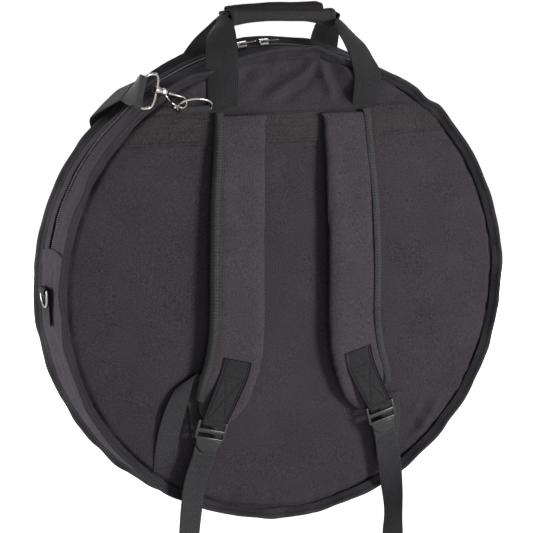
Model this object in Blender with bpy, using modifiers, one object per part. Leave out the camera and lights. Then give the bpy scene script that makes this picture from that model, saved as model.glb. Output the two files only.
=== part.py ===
"""Cymbal bag for 22 inch cymbals, hung by its carry handle.

Metres, +Z up. The origin is the middle of the grip's flat underside. The face with the
backpack straps looks along -Y, and the bag's disc turns about a line along Y. Inside this
script places are measured from the disc's centre, and one empty there carries every piece.
"""

import math

import bmesh
import bpy
from mathutils import Matrix, Vector

# Whole bag
DISC_RADIUS = 0.298
GRIP_RISE = 0.028
DISC_DROP = DISC_RADIUS + GRIP_RISE
BAG_DEPTH = 0.072
GUSSET_FLARE = 0.010
CLEARANCE = 0.0003
ROUND_STEPS = 72

# Layers of the two faces
PANEL_THICKNESS = 0.0016
PANEL_INSET = 0.0015
FOAM_THICKNESS = 0.005
LINING_THICKNESS = 0.001
DIVIDER_THICKNESS = 0.003
DIVIDER_OFFSET = 0.008

# Gusset and main zip
GUSSET_THICKNESS = 0.003
ZIP_LINE = 0.012
CHAIN_WIDTH = 0.008
CHAIN_SINK = 0.0004
CHAIN_THICKNESS = 0.0022
ZIP_LEFT_END = 171.0
ZIP_RIGHT_END = 9.0
END_COVER_DEGREES = 3.0
END_COVER_THICKNESS = 0.0015
END_COVER_MARGIN = 0.001

# Binding tape on each rim
BINDING_LENGTH = 0.010
BINDING_THICKNESS = 0.0038

# Reinforcement band over the top seam
BAND_DROP = 0.074
BAND_TOP = DISC_RADIUS - BAND_DROP
BAND_HEIGHT = 0.040
BAND_THICKNESS = 0.0014
BAND_RIM_GAP = 0.0025

# Main zip sliders and their wire pulls
SLIDER_LENGTH = 0.012
SLIDER_WIDTH = 0.009
SLIDER_HEIGHT = 0.0036
SLIDER_BRIDGE_HEIGHT = 0.0014
SLIDER_BRIDGE_LENGTH = 0.004
SLIDER_BEVEL = 0.0008
RIGHT_SLIDER_ANGLE = 93.3
SLIDER_SPACING = 0.0286
PULL_LENGTH = 0.019
PULL_WIDTH = 0.010
PULL_WIRE = 0.0009

# Outer pocket on the unseen face
POCKET_RADIUS = 0.262
POCKET_TOP = 0.045
POCKET_DEPTH = 0.022
POCKET_WALL = 0.002
POCKET_CHAIN_INSET = 0.004
POCKET_RIDGE_WIDTH = 0.006
POCKET_RIDGE_HEIGHT = 0.001

# Webbings
WEBBING_THICKNESS = 0.0015
HANDLE_WIDTH = 0.036
STRAP_WIDTH = 0.038
LOAD_WIDTH = 0.030

# Carry handle
GRIP_LENGTH = 0.140
GRIP_WIDTH = 0.030
GRIP_HEIGHT = 0.027
GRIP_CORNER = 0.009
GRIP_BORE_WIDTH = 0.025
GATHERED_WIDTH = 0.022
HANDLE_SHIFT = 0.006
FLAP_LENGTH = 0.124
FLAP_WIDTH = 0.022
FLAP_THICKNESS = 0.0016

# D rings and their webbing loops
RING_WIRE = 0.0016
TOP_LOOP_WIDTH = 0.038
SIDE_LOOP_WIDTH = 0.025
RING_SIDE_GAP = 0.0012
TOP_RING_HEIGHT = 0.015
SIDE_RING_HEIGHT = 0.021
TOP_LOOP_GAP = 0.006
TOP_LOOP_RISE = 0.0035
LOOP_TAB_LENGTH = 0.044
LOOP_RETURN_LENGTH = 0.009
SIDE_LOOP_ANGLE = 177.8
LEFT_LOOP_Y = 0.008
RIGHT_LOOP_Y = 0.020
TOP_RING_TILT = 35.0
RIGHT_RING_TILT = 32.0
TOP_CONTACT_SHARE = -0.8
RING_ROUNDNESS_SHARE = 0.7

# Snap hooks of the shoulder strap
HOOK_ROD = 0.0016
BARREL_RADIUS = 0.0045
BARREL_LENGTH = 0.009
SHANK_LENGTH = 0.024
NOSE_RADIUS = 0.0065
FRAME_ROD = 0.0019
FRAME_REACH = 0.024
FRAME_HALF_WIDTH = 0.0215
FRAME_CORNER = 0.002
BOSS_RADIUS = 0.0042
BOSS_LENGTH = 0.006
GATE_ROD = 0.0011
GATE_LENGTH = 0.0115
GATE_PIVOT_AHEAD = 0.008
GATE_PIVOT_DROP = -0.0105
KNOB_RADIUS = 0.0016
KNOB_LENGTH = 0.0045

# Backpack straps
PAD_THICKNESS = 0.011
PAD_TOP_WIDTH = 0.068
PAD_TOP_SHARE = 0.228
PAD_EDGE_TAPE = 0.010
TAPE_THICKNESS = 0.0012
SURFACE_GAP = 0.0005
TAB_TOP_Z = -0.090
TOP_LOOP_X = -(PAD_TOP_SHARE * DISC_RADIUS + (PAD_TOP_WIDTH + TOP_LOOP_WIDTH) / 2.0 + TOP_LOOP_GAP)

# Ladder lock buckles
LOCK_WIDTH = 0.040
LOCK_LENGTH = 0.044
LOCK_THICKNESS = 0.004
LOCK_BAR = 0.004
LOCK_SLOT = 0.006
LOCK_RUNG = 0.006
LOCK_SLOT_WIDTH = 0.0325
LOCK_LEAN = 15.0
LOCK_TOP_X = 0.1135
LOCK_TOP_Z = -0.158
LOCK_FRONT = 0.0232
TAIL_END_Z = -0.400

# Shoulder strap and its slide adjuster
STRAP_LEAD = 0.012
ADJUSTER_LENGTH = 0.022
ADJUSTER_RIM = 0.004
ADJUSTER_GAP = 0.0004
ADJUSTER_TRAVEL = 0.012
ADJUSTER_PLACE_SHARE = 0.40
WINDOW_PLACE_SHARE = 0.22

COLOURS = {
    "cloth": ((0.0520, 0.0470, 0.0530, 1.0), 0.88, 0.0),
    "padding": ((0.0620, 0.0560, 0.0620, 1.0), 0.90, 0.0),
    "webbing": ((0.0380, 0.0370, 0.0390, 1.0), 0.65, 0.0),
    "lining": ((0.1000, 0.1000, 0.1100, 1.0), 0.80, 0.0),
    "foam": ((0.1500, 0.1500, 0.1600, 1.0), 0.95, 0.0),
    "plastic": ((0.0160, 0.0160, 0.0170, 1.0), 0.28, 0.0),
    "metal": ((0.8000, 0.7700, 0.7300, 1.0), 0.20, 1.0),
}


def start_scene():
    """Empty the scene and return the two collections and the empty at the disc's centre."""
    for obj in list(bpy.data.objects):
        bpy.data.objects.remove(obj, do_unlink=True)
    parts = bpy.data.collections.new("cymbal_bag")
    cutters = bpy.data.collections.new("cutters")
    bpy.context.scene.collection.children.link(parts)
    bpy.context.scene.collection.children.link(cutters)
    hub = bpy.data.objects.new("disc_centre", None)
    hub.location = (0.0, 0.0, -DISC_DROP)
    parts.objects.link(hub)
    return parts, cutters, hub


PARTS, CUTTERS, HUB = start_scene()


# Shared makers

def material_for(name, kind):
    """One Principled material for each piece."""
    colour, roughness, metallic = COLOURS[kind]
    mat = bpy.data.materials.new(name + "_finish")
    mat.use_nodes = True
    shader = mat.node_tree.nodes["Principled BSDF"]
    shader.inputs["Base Color"].default_value = colour
    shader.inputs["Roughness"].default_value = roughness
    shader.inputs["Metallic"].default_value = metallic
    mat.diffuse_color = colour
    return mat


def place(name, data, kind, pivot=None):
    """Link a mesh or curve, already moved to its pivot, as one piece of the bag."""
    obj = bpy.data.objects.new(name, data)
    obj.parent = HUB
    obj.location = pivot if pivot is not None else Vector((0.0, 0.0, 0.0))
    data.materials.append(material_for(name, kind))
    PARTS.objects.link(obj)
    return obj


def piece(name, bm, kind, pivot=None):
    """Turn a bmesh in disc coordinates into a piece whose origin is its pivot."""
    if pivot is not None:
        bmesh.ops.translate(bm, verts=bm.verts, vec=-pivot)
    bmesh.ops.recalc_face_normals(bm, faces=bm.faces)
    mesh = bpy.data.meshes.new(name)
    bm.to_mesh(mesh)
    bm.free()
    return place(name, mesh, kind, pivot)


def solidify(obj, thickness):
    """Give an open sheet its thickness, half to each side."""
    mod = obj.modifiers.new("thickness", "SOLIDIFY")
    mod.thickness = thickness
    mod.offset = 0.0
    mod.use_even_offset = True


def cut(obj, cutter, operation="DIFFERENCE"):
    """Join or subtract a helper body, which stays out of the model."""
    cutter.hide_render = True
    cutter.display_type = "WIRE"
    for collection in list(cutter.users_collection):
        collection.objects.unlink(cutter)
    CUTTERS.objects.link(cutter)
    mod = obj.modifiers.new("shape", "BOOLEAN")
    mod.operation = operation
    mod.solver = "EXACT"
    mod.object = cutter


def axes_matrix(origin, across, outward, up):
    """A placing matrix from three directions that are square to each other."""
    matrix = Matrix((across, outward, up)).transposed().to_4x4()
    matrix.translation = origin
    return matrix


def polar(radius, degrees, y):
    """A point at a radius and an angle from +X towards +Z."""
    angle = math.radians(degrees)
    return Vector((radius * math.cos(angle), y, radius * math.sin(angle)))


def gusset_radius(y):
    """The gusset is a cone, wider at the pocket side."""
    return DISC_RADIUS + GUSSET_FLARE * y / BAG_DEPTH


FACET_SAG = DISC_RADIUS * (1.0 - math.cos(math.pi / ROUND_STEPS))
HALF_DEPTH = BAG_DEPTH / 2.0
PANEL_FRONT = -HALF_DEPTH
GUSSET_EDGE = HALF_DEPTH - PANEL_THICKNESS - CLEARANCE


def disc_piece(name, radius, y_low, y_high, kind):
    """A flat round layer, square to Y."""
    bm = bmesh.new()
    turn = Matrix.Rotation(math.radians(90.0), 4, "X")
    middle = Matrix.Translation((0.0, (y_low + y_high) / 2.0, 0.0))
    bmesh.ops.create_cone(bm, cap_ends=True, segments=ROUND_STEPS, radius1=radius,
                          radius2=radius, depth=y_high - y_low, matrix=middle @ turn)
    return piece(name, bm, kind)


def arc_piece(name, section, start, end, kind, pivot=None):
    """Turn a closed section of (radius, y) corners about Y from one angle to another."""
    bm = bmesh.new()
    corners = [bm.verts.new(polar(radius, start, y)) for radius, y in section]
    face = bm.faces.new(corners)
    steps = max(2, round(abs(end - start) * ROUND_STEPS / 360.0))
    bmesh.ops.spin(bm, geom=[face] + list(face.edges) + corners, cent=(0.0, 0.0, 0.0),
                   axis=(0.0, -1.0, 0.0), angle=math.radians(end - start), steps=steps)
    return piece(name, bm, kind, pivot)


def ring_piece(name, section, kind):
    """Turn a closed section all the way round Y."""
    bm = bmesh.new()
    corners = [bm.verts.new(polar(radius, 0.0, y)) for radius, y in section]
    edges = [bm.edges.new((corners[i - 1], corners[i])) for i in range(len(corners))]
    bmesh.ops.spin(bm, geom=edges + corners, cent=(0.0, 0.0, 0.0), axis=(0.0, -1.0, 0.0),
                   angle=math.tau, steps=ROUND_STEPS, use_merge=True)
    return piece(name, bm, kind)


def box_bmesh(size, matrix):
    """A box of a given size as a new bmesh."""
    bm = bmesh.new()
    bmesh.ops.create_cube(bm, size=1.0)
    bmesh.ops.scale(bm, verts=bm.verts, vec=size)
    bmesh.ops.transform(bm, matrix=matrix, verts=bm.verts)
    return bm


def smooth_rows(rows, steps):
    """Catmull-Rom rows between hand-placed rows of (centre, across, width)."""
    out = []
    last = len(rows) - 1
    for i in range(last):
        before = rows[max(i - 1, 0)]
        here = rows[i]
        after = rows[i + 1]
        beyond = rows[min(i + 2, last)]
        for k in range(steps):
            t = k / steps
            out.append(blend_row(before, here, after, beyond, t))
    out.append(rows[-1])
    return out


def blend_row(before, here, after, beyond, t):
    """One Catmull-Rom row."""
    def mix(a, b, c, d):
        return 0.5 * (2.0 * b + (c - a) * t + (2.0 * a - 5.0 * b + 4.0 * c - d) * t * t
                      + (3.0 * b - a - 3.0 * c + d) * t * t * t)
    centre = mix(before[0], here[0], after[0], beyond[0])
    across = mix(before[1], here[1], after[1], beyond[1]).normalized()
    width = mix(before[2], here[2], after[2], beyond[2])
    return centre, across, width


def ribbon(name, rows, thickness, kind, pivot=None):
    """A webbing: an edge extruded along rows of (centre, across, width), then thickened."""
    bm = bmesh.new()
    centre, across, width = rows[0]
    ends = [bm.verts.new(centre - across * width / 2.0), bm.verts.new(centre + across * width / 2.0)]
    edge = bm.edges.new(ends)
    for centre, across, width in rows[1:]:
        grown = bmesh.ops.extrude_edge_only(bm, edges=[edge])["geom"]
        new_verts = [item for item in grown if isinstance(item, bmesh.types.BMVert)]
        new_edges = [item for item in grown if isinstance(item, bmesh.types.BMEdge)]
        edge = next(item for item in new_edges if set(item.verts) == set(new_verts))
        near = edge_partner(ends[0], new_verts)
        far = edge_partner(ends[1], new_verts)
        near.co = centre - across * width / 2.0
        far.co = centre + across * width / 2.0
        ends = [near, far]
    obj = piece(name, bm, kind, pivot)
    solidify(obj, thickness)
    return obj


def edge_partner(vert, candidates):
    """The new vertex that an extruded edge joins to an old one."""
    return next(edge.other_vert(vert) for edge in vert.link_edges
                if edge.other_vert(vert) in candidates)


def tube(name, points, radius, kind, pivot=None, closed=False):
    """A wire or rod through the given points."""
    shift = pivot if pivot is not None else Vector((0.0, 0.0, 0.0))
    curve = bpy.data.curves.new(name, "CURVE")
    curve.dimensions = "3D"
    curve.bevel_depth = radius
    curve.bevel_resolution = 2
    curve.use_fill_caps = True
    curve.resolution_u = 1
    curve.render_resolution_u = 0
    spline = curve.splines.new("POLY")
    spline.points.add(len(points) - 1)
    for item, point in zip(spline.points, points):
        item.co = (point - shift).to_4d()
    spline.use_cyclic_u = closed
    return place(name, curve, kind, pivot)


def tube_to_mesh(obj):
    """Swap a tube for a welded mesh, so that it can be cut or joined."""
    bpy.context.view_layer.update()
    seen = obj.evaluated_get(bpy.context.evaluated_depsgraph_get())
    mesh = bpy.data.meshes.new_from_object(seen)
    bm = bmesh.new()
    bm.from_mesh(mesh)
    bmesh.ops.remove_doubles(bm, verts=bm.verts, dist=HOOK_ROD / 100.0)
    bm.to_mesh(mesh)
    bm.free()
    name = obj.name
    location = obj.location.copy()
    bpy.data.objects.remove(obj, do_unlink=True)
    made = bpy.data.objects.new(name, mesh)
    made.parent = HUB
    made.location = location
    PARTS.objects.link(made)
    return made


def rod(name, start, end, radius, kind, pivot, segments=12):
    """A straight cylinder between two points."""
    line = end - start
    turn = line.to_track_quat("Z", "Y").to_matrix().to_4x4()
    bm = bmesh.new()
    bmesh.ops.create_cone(bm, cap_ends=True, segments=segments, radius1=radius, radius2=radius,
                          depth=line.length, matrix=Matrix.Translation((start + end) / 2.0) @ turn)
    return piece(name, bm, kind, pivot)


def rounded_outline(half_width, half_height, corner, steps=4):
    """Corner points of a rounded rectangle, anticlockwise."""
    points = []
    centres = ((1, 1, 0.0), (-1, 1, 90.0), (-1, -1, 180.0), (1, -1, 270.0))
    for side_x, side_y, first in centres:
        for k in range(steps + 1):
            angle = math.radians(first + 90.0 * k / steps)
            x = side_x * (half_width - corner) + corner * math.cos(angle)
            y = side_y * (half_height - corner) + corner * math.sin(angle)
            points.append((x, y))
    return points


def plate(name, outlines, thickness, matrix, kind, pivot):
    """A flat plate from a 2D outline with holes, standing across the matrix's Z."""
    curve = bpy.data.curves.new(name, "CURVE")
    curve.dimensions = "2D"
    curve.fill_mode = "BOTH"
    curve.extrude = thickness / 2.0
    curve.resolution_u = 1
    curve.render_resolution_u = 0
    for outline in outlines:
        spline = curve.splines.new("POLY")
        spline.points.add(len(outline) - 1)
        for item, (x, y) in zip(spline.points, outline):
            item.co = (x, y, 0.0, 1.0)
        spline.use_cyclic_u = True
    helper = bpy.data.objects.new(name + "_flat", curve)
    CUTTERS.objects.link(helper)
    bpy.context.view_layer.update()
    seen = helper.evaluated_get(bpy.context.evaluated_depsgraph_get())
    mesh = bpy.data.meshes.new_from_object(seen)
    bpy.data.objects.remove(helper, do_unlink=True)
    bm = bmesh.new()
    bm.from_mesh(mesh)
    bpy.data.meshes.remove(mesh)
    bmesh.ops.remove_doubles(bm, verts=bm.verts, dist=thickness / 100.0)
    bmesh.ops.transform(bm, matrix=matrix, verts=bm.verts)
    return piece(name, bm, kind, pivot)


# The two faces, in layers from outside to inside

def make_face_layers(prefix, side):
    """Panel, foam and lining of one face; side is -1 for the strap side."""
    outer = side * HALF_DEPTH
    panel_back = outer - side * PANEL_THICKNESS
    foam_front = panel_back - side * CLEARANCE
    foam_back = foam_front - side * FOAM_THICKNESS
    lining_front = foam_back - side * CLEARANCE
    lining_back = lining_front - side * LINING_THICKNESS
    panel_radius = gusset_radius(outer) - PANEL_INSET
    inner_radius = gusset_radius(-HALF_DEPTH if side < 0 else lining_back)
    inner_radius = inner_radius - GUSSET_THICKNESS - CLEARANCE - FACET_SAG
    disc_piece(prefix + "_panel", panel_radius, *sorted((panel_back, outer)), "cloth")
    disc_piece(prefix + "_foam", inner_radius, *sorted((foam_back, foam_front)), "foam")
    disc_piece(prefix + "_lining", inner_radius, *sorted((lining_back, lining_front)), "lining")


def make_dividers():
    """Two padded sheets that keep three rows of cymbals apart."""
    for name, y in (("divider_strap_side", -DIVIDER_OFFSET), ("divider_pocket_side", DIVIDER_OFFSET)):
        low = y - DIVIDER_THICKNESS / 2.0
        high = y + DIVIDER_THICKNESS / 2.0
        radius = gusset_radius(low) - GUSSET_THICKNESS - CLEARANCE - FACET_SAG
        disc_piece(name, radius, low, high, "lining")


# Gusset, zip and bindings

def wall_section(y_low, y_high, sink=0.0, thickness=GUSSET_THICKNESS):
    """Section of a gusset strip between two places along Y."""
    return [
        (gusset_radius(y_low) - sink, y_low),
        (gusset_radius(y_high) - sink, y_high),
        (gusset_radius(y_high) - sink - thickness, y_high),
        (gusset_radius(y_low) - sink - thickness, y_low),
    ]


def make_gusset():
    """Lower gusset, the two zip strips, the zip chain between them and its end covers."""
    gap = math.degrees(CLEARANCE / DISC_RADIUS)
    whole = wall_section(-GUSSET_EDGE, GUSSET_EDGE)
    arc_piece("lower_gusset", whole, ZIP_LEFT_END + gap, ZIP_RIGHT_END + 360.0 - gap, "cloth")
    chain_low = ZIP_LINE - CHAIN_WIDTH / 2.0
    chain_high = ZIP_LINE + CHAIN_WIDTH / 2.0
    near = wall_section(-GUSSET_EDGE, chain_low - CLEARANCE)
    far = wall_section(chain_high + CLEARANCE, GUSSET_EDGE)
    chain = wall_section(chain_low, chain_high, CHAIN_SINK, CHAIN_THICKNESS)
    arc_piece("zip_strip_strap_side", near, ZIP_RIGHT_END, ZIP_LEFT_END, "cloth")
    arc_piece("zip_strip_pocket_side", far, ZIP_RIGHT_END, ZIP_LEFT_END, "cloth")
    arc_piece("main_zip_chain", chain, ZIP_RIGHT_END, ZIP_LEFT_END, "cloth")
    edge = GUSSET_EDGE - END_COVER_MARGIN
    cover = wall_section(-edge, edge, -CLEARANCE - END_COVER_THICKNESS, END_COVER_THICKNESS)
    arc_piece("zip_end_cover_left", cover, ZIP_LEFT_END - END_COVER_DEGREES, ZIP_LEFT_END, "webbing")
    arc_piece("zip_end_cover_right", cover, ZIP_RIGHT_END, ZIP_RIGHT_END + END_COVER_DEGREES, "webbing")


def make_binding(name, side):
    """Binding tape folded over the rim's seam, standing out at 45 degrees."""
    corner_radius = gusset_radius(side * HALF_DEPTH) - PANEL_INSET / 2.0
    corner_y = side * HALF_DEPTH
    slant = math.sqrt(0.5)
    half = BINDING_THICKNESS / 2.0
    section = []
    for along, aside in ((0.0, -half), (BINDING_LENGTH - half, -half), (BINDING_LENGTH, 0.0),
                         (BINDING_LENGTH - half, half), (0.0, half)):
        radius = corner_radius + slant * (along + aside)
        y = corner_y + side * slant * (along - aside)
        section.append((radius, y))
    ring_piece(name, section, "webbing")


def make_band():
    """Reinforcement band: a round sheet cut off above and below."""
    radius = gusset_radius(PANEL_FRONT) - PANEL_INSET - BAND_RIM_GAP
    y_high = PANEL_FRONT - CLEARANCE
    bm = bmesh.new()
    turn = Matrix.Rotation(math.radians(90.0), 4, "X")
    middle = Matrix.Translation((0.0, y_high - BAND_THICKNESS / 2.0, 0.0))
    bmesh.ops.create_cone(bm, cap_ends=True, segments=ROUND_STEPS, radius1=radius,
                          radius2=radius, depth=BAND_THICKNESS, matrix=middle @ turn)
    for height, normal in ((BAND_TOP, 1.0), (BAND_TOP - BAND_HEIGHT, -1.0)):
        halved = bmesh.ops.bisect_plane(bm, geom=bm.verts[:] + bm.edges[:] + bm.faces[:],
                                        plane_co=(0.0, 0.0, height), plane_no=(0.0, 0.0, normal),
                                        clear_outer=True)
        rim = [item for item in halved["geom_cut"] if isinstance(item, bmesh.types.BMEdge)]
        bmesh.ops.contextual_create(bm, geom=rim)
    piece("top_reinforcement_band", bm, "cloth")


# Outer pocket on the unseen face

def make_pocket():
    """Half-moon pocket: curved gusset, front panel, straight zip on top, slider and pull."""
    back = HALF_DEPTH + CLEARANCE
    front = HALF_DEPTH + POCKET_DEPTH
    start = math.degrees(math.asin(POCKET_TOP / POCKET_RADIUS))
    gap = math.degrees(CLEARANCE / POCKET_RADIUS)
    wall = [(POCKET_RADIUS, back), (POCKET_RADIUS, front - CLEARANCE),
            (POCKET_RADIUS - POCKET_WALL, front - CLEARANCE), (POCKET_RADIUS - POCKET_WALL, back)]
    arc_piece("pocket_gusset", wall, 180.0 - start + gap, 360.0 + start - gap, "cloth")
    make_pocket_front(front)
    make_pocket_zip(back, front - CLEARANCE)


def make_pocket_front(front):
    """Front panel: a round sheet cut off level with the zip."""
    bm = bmesh.new()
    turn = Matrix.Rotation(math.radians(90.0), 4, "X")
    middle = Matrix.Translation((0.0, front + POCKET_WALL / 2.0, 0.0))
    bmesh.ops.create_cone(bm, cap_ends=True, segments=ROUND_STEPS, radius1=POCKET_RADIUS,
                          radius2=POCKET_RADIUS, depth=POCKET_WALL, matrix=middle @ turn)
    halved = bmesh.ops.bisect_plane(bm, geom=bm.verts[:] + bm.edges[:] + bm.faces[:],
                                    plane_co=(0.0, 0.0, POCKET_TOP), plane_no=(0.0, 0.0, 1.0),
                                    clear_outer=True)
    rim = [item for item in halved["geom_cut"] if isinstance(item, bmesh.types.BMEdge)]
    bmesh.ops.contextual_create(bm, geom=rim)
    piece("pocket_front_panel", bm, "cloth")


def pocket_half_length():
    """Half the pocket's zip, from its middle to its end on the curved gusset."""
    return math.sqrt(POCKET_RADIUS ** 2 - POCKET_TOP ** 2) - POCKET_WALL - POCKET_CHAIN_INSET


def make_pocket_zip(back, front):
    """Zip tape along the pocket's top with a raised coil, and the slider that runs on it."""
    middle = (back + front) / 2.0
    half_ridge = POCKET_RIDGE_WIDTH / 2.0
    top = POCKET_TOP
    bottom = top - POCKET_WALL
    section = ((back, bottom), (front, bottom), (front, top), (middle + half_ridge, top),
               (middle + half_ridge, top + POCKET_RIDGE_HEIGHT),
               (middle - half_ridge, top + POCKET_RIDGE_HEIGHT), (middle - half_ridge, top), (back, top))
    half = pocket_half_length()
    bm = bmesh.new()
    face = bm.faces.new([bm.verts.new((-half, y, z)) for y, z in section])
    grown = bmesh.ops.extrude_face_region(bm, geom=[face])["geom"]
    moved = [item for item in grown if isinstance(item, bmesh.types.BMVert)]
    bmesh.ops.translate(bm, verts=moved, vec=(2.0 * half, 0.0, 0.0))
    piece("pocket_zip_chain", bm, "cloth")
    seat = top + POCKET_RIDGE_HEIGHT + CLEARANCE
    base = axes_matrix(Vector((0.0, middle, seat)), Vector((0.0, -1.0, 0.0)),
                       Vector((1.0, 0.0, 0.0)), Vector((0.0, 0.0, 1.0)))
    make_slider("pocket_slider", "pocket_pull", base, Vector((0.0, middle, seat)))


# Sliders

def make_slider(name, pull_name, base, pivot):
    """A slider with a bridge on top, and a wire pull hinged in the bridge.

    In the base matrix Y is the running direction, Z points away from the chain.
    """
    body_middle = Vector((0.0, 0.0, SLIDER_HEIGHT / 2.0))
    bm = box_bmesh(Vector((SLIDER_WIDTH, SLIDER_LENGTH, SLIDER_HEIGHT)),
                   base @ Matrix.Translation(body_middle))
    body = piece(name, bm, "metal", pivot)
    bevel = body.modifiers.new("rounded", "BEVEL")
    bevel.width = SLIDER_BEVEL
    bevel.segments = 2
    hinge_height = SLIDER_HEIGHT + CLEARANCE + PULL_WIRE
    bridge_top = hinge_height + PULL_WIRE + CLEARANCE
    bridge = box_bmesh(Vector((SLIDER_BRIDGE_LENGTH, SLIDER_LENGTH, SLIDER_BRIDGE_HEIGHT)), base
                       @ Matrix.Translation((0.0, 0.0, bridge_top + SLIDER_BRIDGE_HEIGHT / 2.0)))
    bridge_obj = piece(name + "_bridge", bridge, "metal", pivot)
    cut(body, bridge_obj, "UNION")
    foot_depth = (SLIDER_LENGTH / 2.0 - PULL_WIRE - 2.0 * CLEARANCE) / 2.0
    for share in (-1.0, 1.0):
        foot_y = share * (SLIDER_LENGTH / 2.0 - foot_depth / 2.0)
        height = bridge_top + SLIDER_BRIDGE_HEIGHT / 2.0 - SLIDER_HEIGHT / 2.0
        foot_middle = Vector((0.0, foot_y, SLIDER_HEIGHT / 2.0 + height / 2.0))
        foot = box_bmesh(Vector((SLIDER_BRIDGE_LENGTH, foot_depth, height)),
                         base @ Matrix.Translation(foot_middle))
        foot_obj = piece(name + ("_foot_a" if share < 0 else "_foot_b"), foot, "metal", pivot)
        cut(body, foot_obj, "UNION")
    make_pull(pull_name, base, hinge_height)


def make_pull(name, base, hinge_height):
    """A wire ring through the bridge, lying back along the zip."""
    half = PULL_WIDTH / 2.0
    points = [(-half, 0.0), (0.0, 0.0), (half, 0.0)]
    reach = PULL_LENGTH - half
    points.append((half, reach / 2.0))
    for k in range(9):
        angle = math.pi * k / 8.0
        points.append((half * math.cos(angle), reach + half * math.sin(angle)))
    points.append((-half, reach / 2.0))
    hinge = base @ Vector((0.0, 0.0, hinge_height))
    world = [base @ Vector((x, y, hinge_height)) for x, y in points]
    tube(name, world, PULL_WIRE, "metal", hinge, closed=True)


def make_main_sliders():
    """The two sliders of the main zip; their pulls both lie towards the right.

    A slider is wider than the chain, so its flat foot clears the strips' higher edge.
    """
    flare = GUSSET_FLARE * SLIDER_WIDTH / BAG_DEPTH / 2.0
    seat_radius = gusset_radius(ZIP_LINE) + flare + CLEARANCE
    left_angle = RIGHT_SLIDER_ANGLE + math.degrees(SLIDER_SPACING / DISC_RADIUS)
    for side, angle in (("left", left_angle), ("right", RIGHT_SLIDER_ANGLE)):
        outward = polar(1.0, angle, 0.0)
        run = polar(1.0, angle - 90.0, 0.0)
        seat = polar(seat_radius, angle, ZIP_LINE)
        base = axes_matrix(seat, run.cross(outward), run, outward)
        make_slider("zip_slider_" + side, "zip_pull_" + side, base, seat)


# Carry handle

BORE_HEIGHT = 2.0 * WEBBING_THICKNESS + 4.0 * CLEARANCE
GRIP_MIDDLE = DISC_DROP + GRIP_HEIGHT / 2.0
LAYER_OFFSET = (WEBBING_THICKNESS + CLEARANCE) / 2.0

# Leg stations from the seam up: how far x lies outside the grip's end as a share of the
# grip's length, y as a share of half the bag's depth, z as a share of the rise from the
# seam to the grip's middle, the across direction, and the share of the webbing's width.
NEAR_LEG_SHARES = (
    (0.160, 1.075, 0.150, (1.00, 0.00, 0.05), 1.00),
    (0.166, 1.215, 0.331, (1.00, 0.00, 0.05), 1.00),
    (0.158, 1.370, 0.525, (1.00, 0.02, 0.05), 1.00),
    (0.132, 1.290, 0.708, (0.97, 0.20, 0.05), 1.00),
    (0.088, 0.950, 0.857, (0.86, 0.50, 0.00), 0.95),
    (0.041, 0.480, 0.961, (0.62, 0.78, 0.00), 0.80),
)
FAR_LEG_SHARES = (
    (0.185, 1.075, 0.150, (1.00, 0.00, 0.05), 1.00),
    (0.234, 1.300, 0.331, (1.00, 0.00, 0.05), 1.00),
    (0.249, 1.480, 0.525, (1.00, 0.02, 0.05), 1.00),
    (0.213, 1.400, 0.718, (0.97, 0.20, 0.05), 1.00),
    (0.139, 1.050, 0.878, (0.86, 0.50, 0.00), 0.95),
    (0.058, 0.520, 0.981, (0.62, 0.78, 0.00), 0.80),
)


def leg_rows(stations, side, face):
    """Rows of one handle leg, from its seam to just outside the grip."""
    start_y = face * (HALF_DEPTH + CLEARANCE + WEBBING_THICKNESS / 2.0)
    seam_z = BAND_TOP + CLEARANCE * 2.0
    rise = GRIP_MIDDLE - BAND_TOP
    seam_x = side * (0.5 + stations[0][0]) * GRIP_LENGTH + HANDLE_SHIFT
    rows = [(Vector((seam_x, start_y, seam_z)), Vector((1.0, 0.0, 0.0)), HANDLE_WIDTH)]
    for i, (x_share, y_share, z_share, lean, width_share) in enumerate(stations):
        shift = HANDLE_SHIFT * (1.0 - i / len(stations))
        centre = Vector((side * (0.5 + x_share) * GRIP_LENGTH + shift, face * y_share * HALF_DEPTH,
                         BAND_TOP + z_share * rise))
        across = Vector((lean[0], -side * face * lean[1], side * lean[2])).normalized()
        rows.append((centre, across, HANDLE_WIDTH * width_share))
    return rows


def make_handle_webbing(name, stations, face, layer):
    """One webbing: up from a face, through the grip and down to the same face."""
    height = GRIP_MIDDLE + layer * LAYER_OFFSET
    half = GRIP_LENGTH / 2.0
    right = leg_rows(stations, 1.0, face)
    left = leg_rows(stations, -1.0, face)
    across = Vector((0.0, -face, 0.0))
    inside = [(Vector((half, 0.0, height)), across, GATHERED_WIDTH),
              (Vector((0.0, 0.0, height)), across, GATHERED_WIDTH)]
    route = smooth_rows(right + inside, 3)
    flipped = [(centre, -way, width) for centre, way, width in left]
    inside_left = [(Vector((0.0, 0.0, height)), across, GATHERED_WIDTH),
                   (Vector((-half, 0.0, height)), across, GATHERED_WIDTH)]
    route_left = smooth_rows(inside_left + flipped[::-1], 3)
    ribbon(name, route + route_left[1:], WEBBING_THICKNESS, "webbing")


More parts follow.
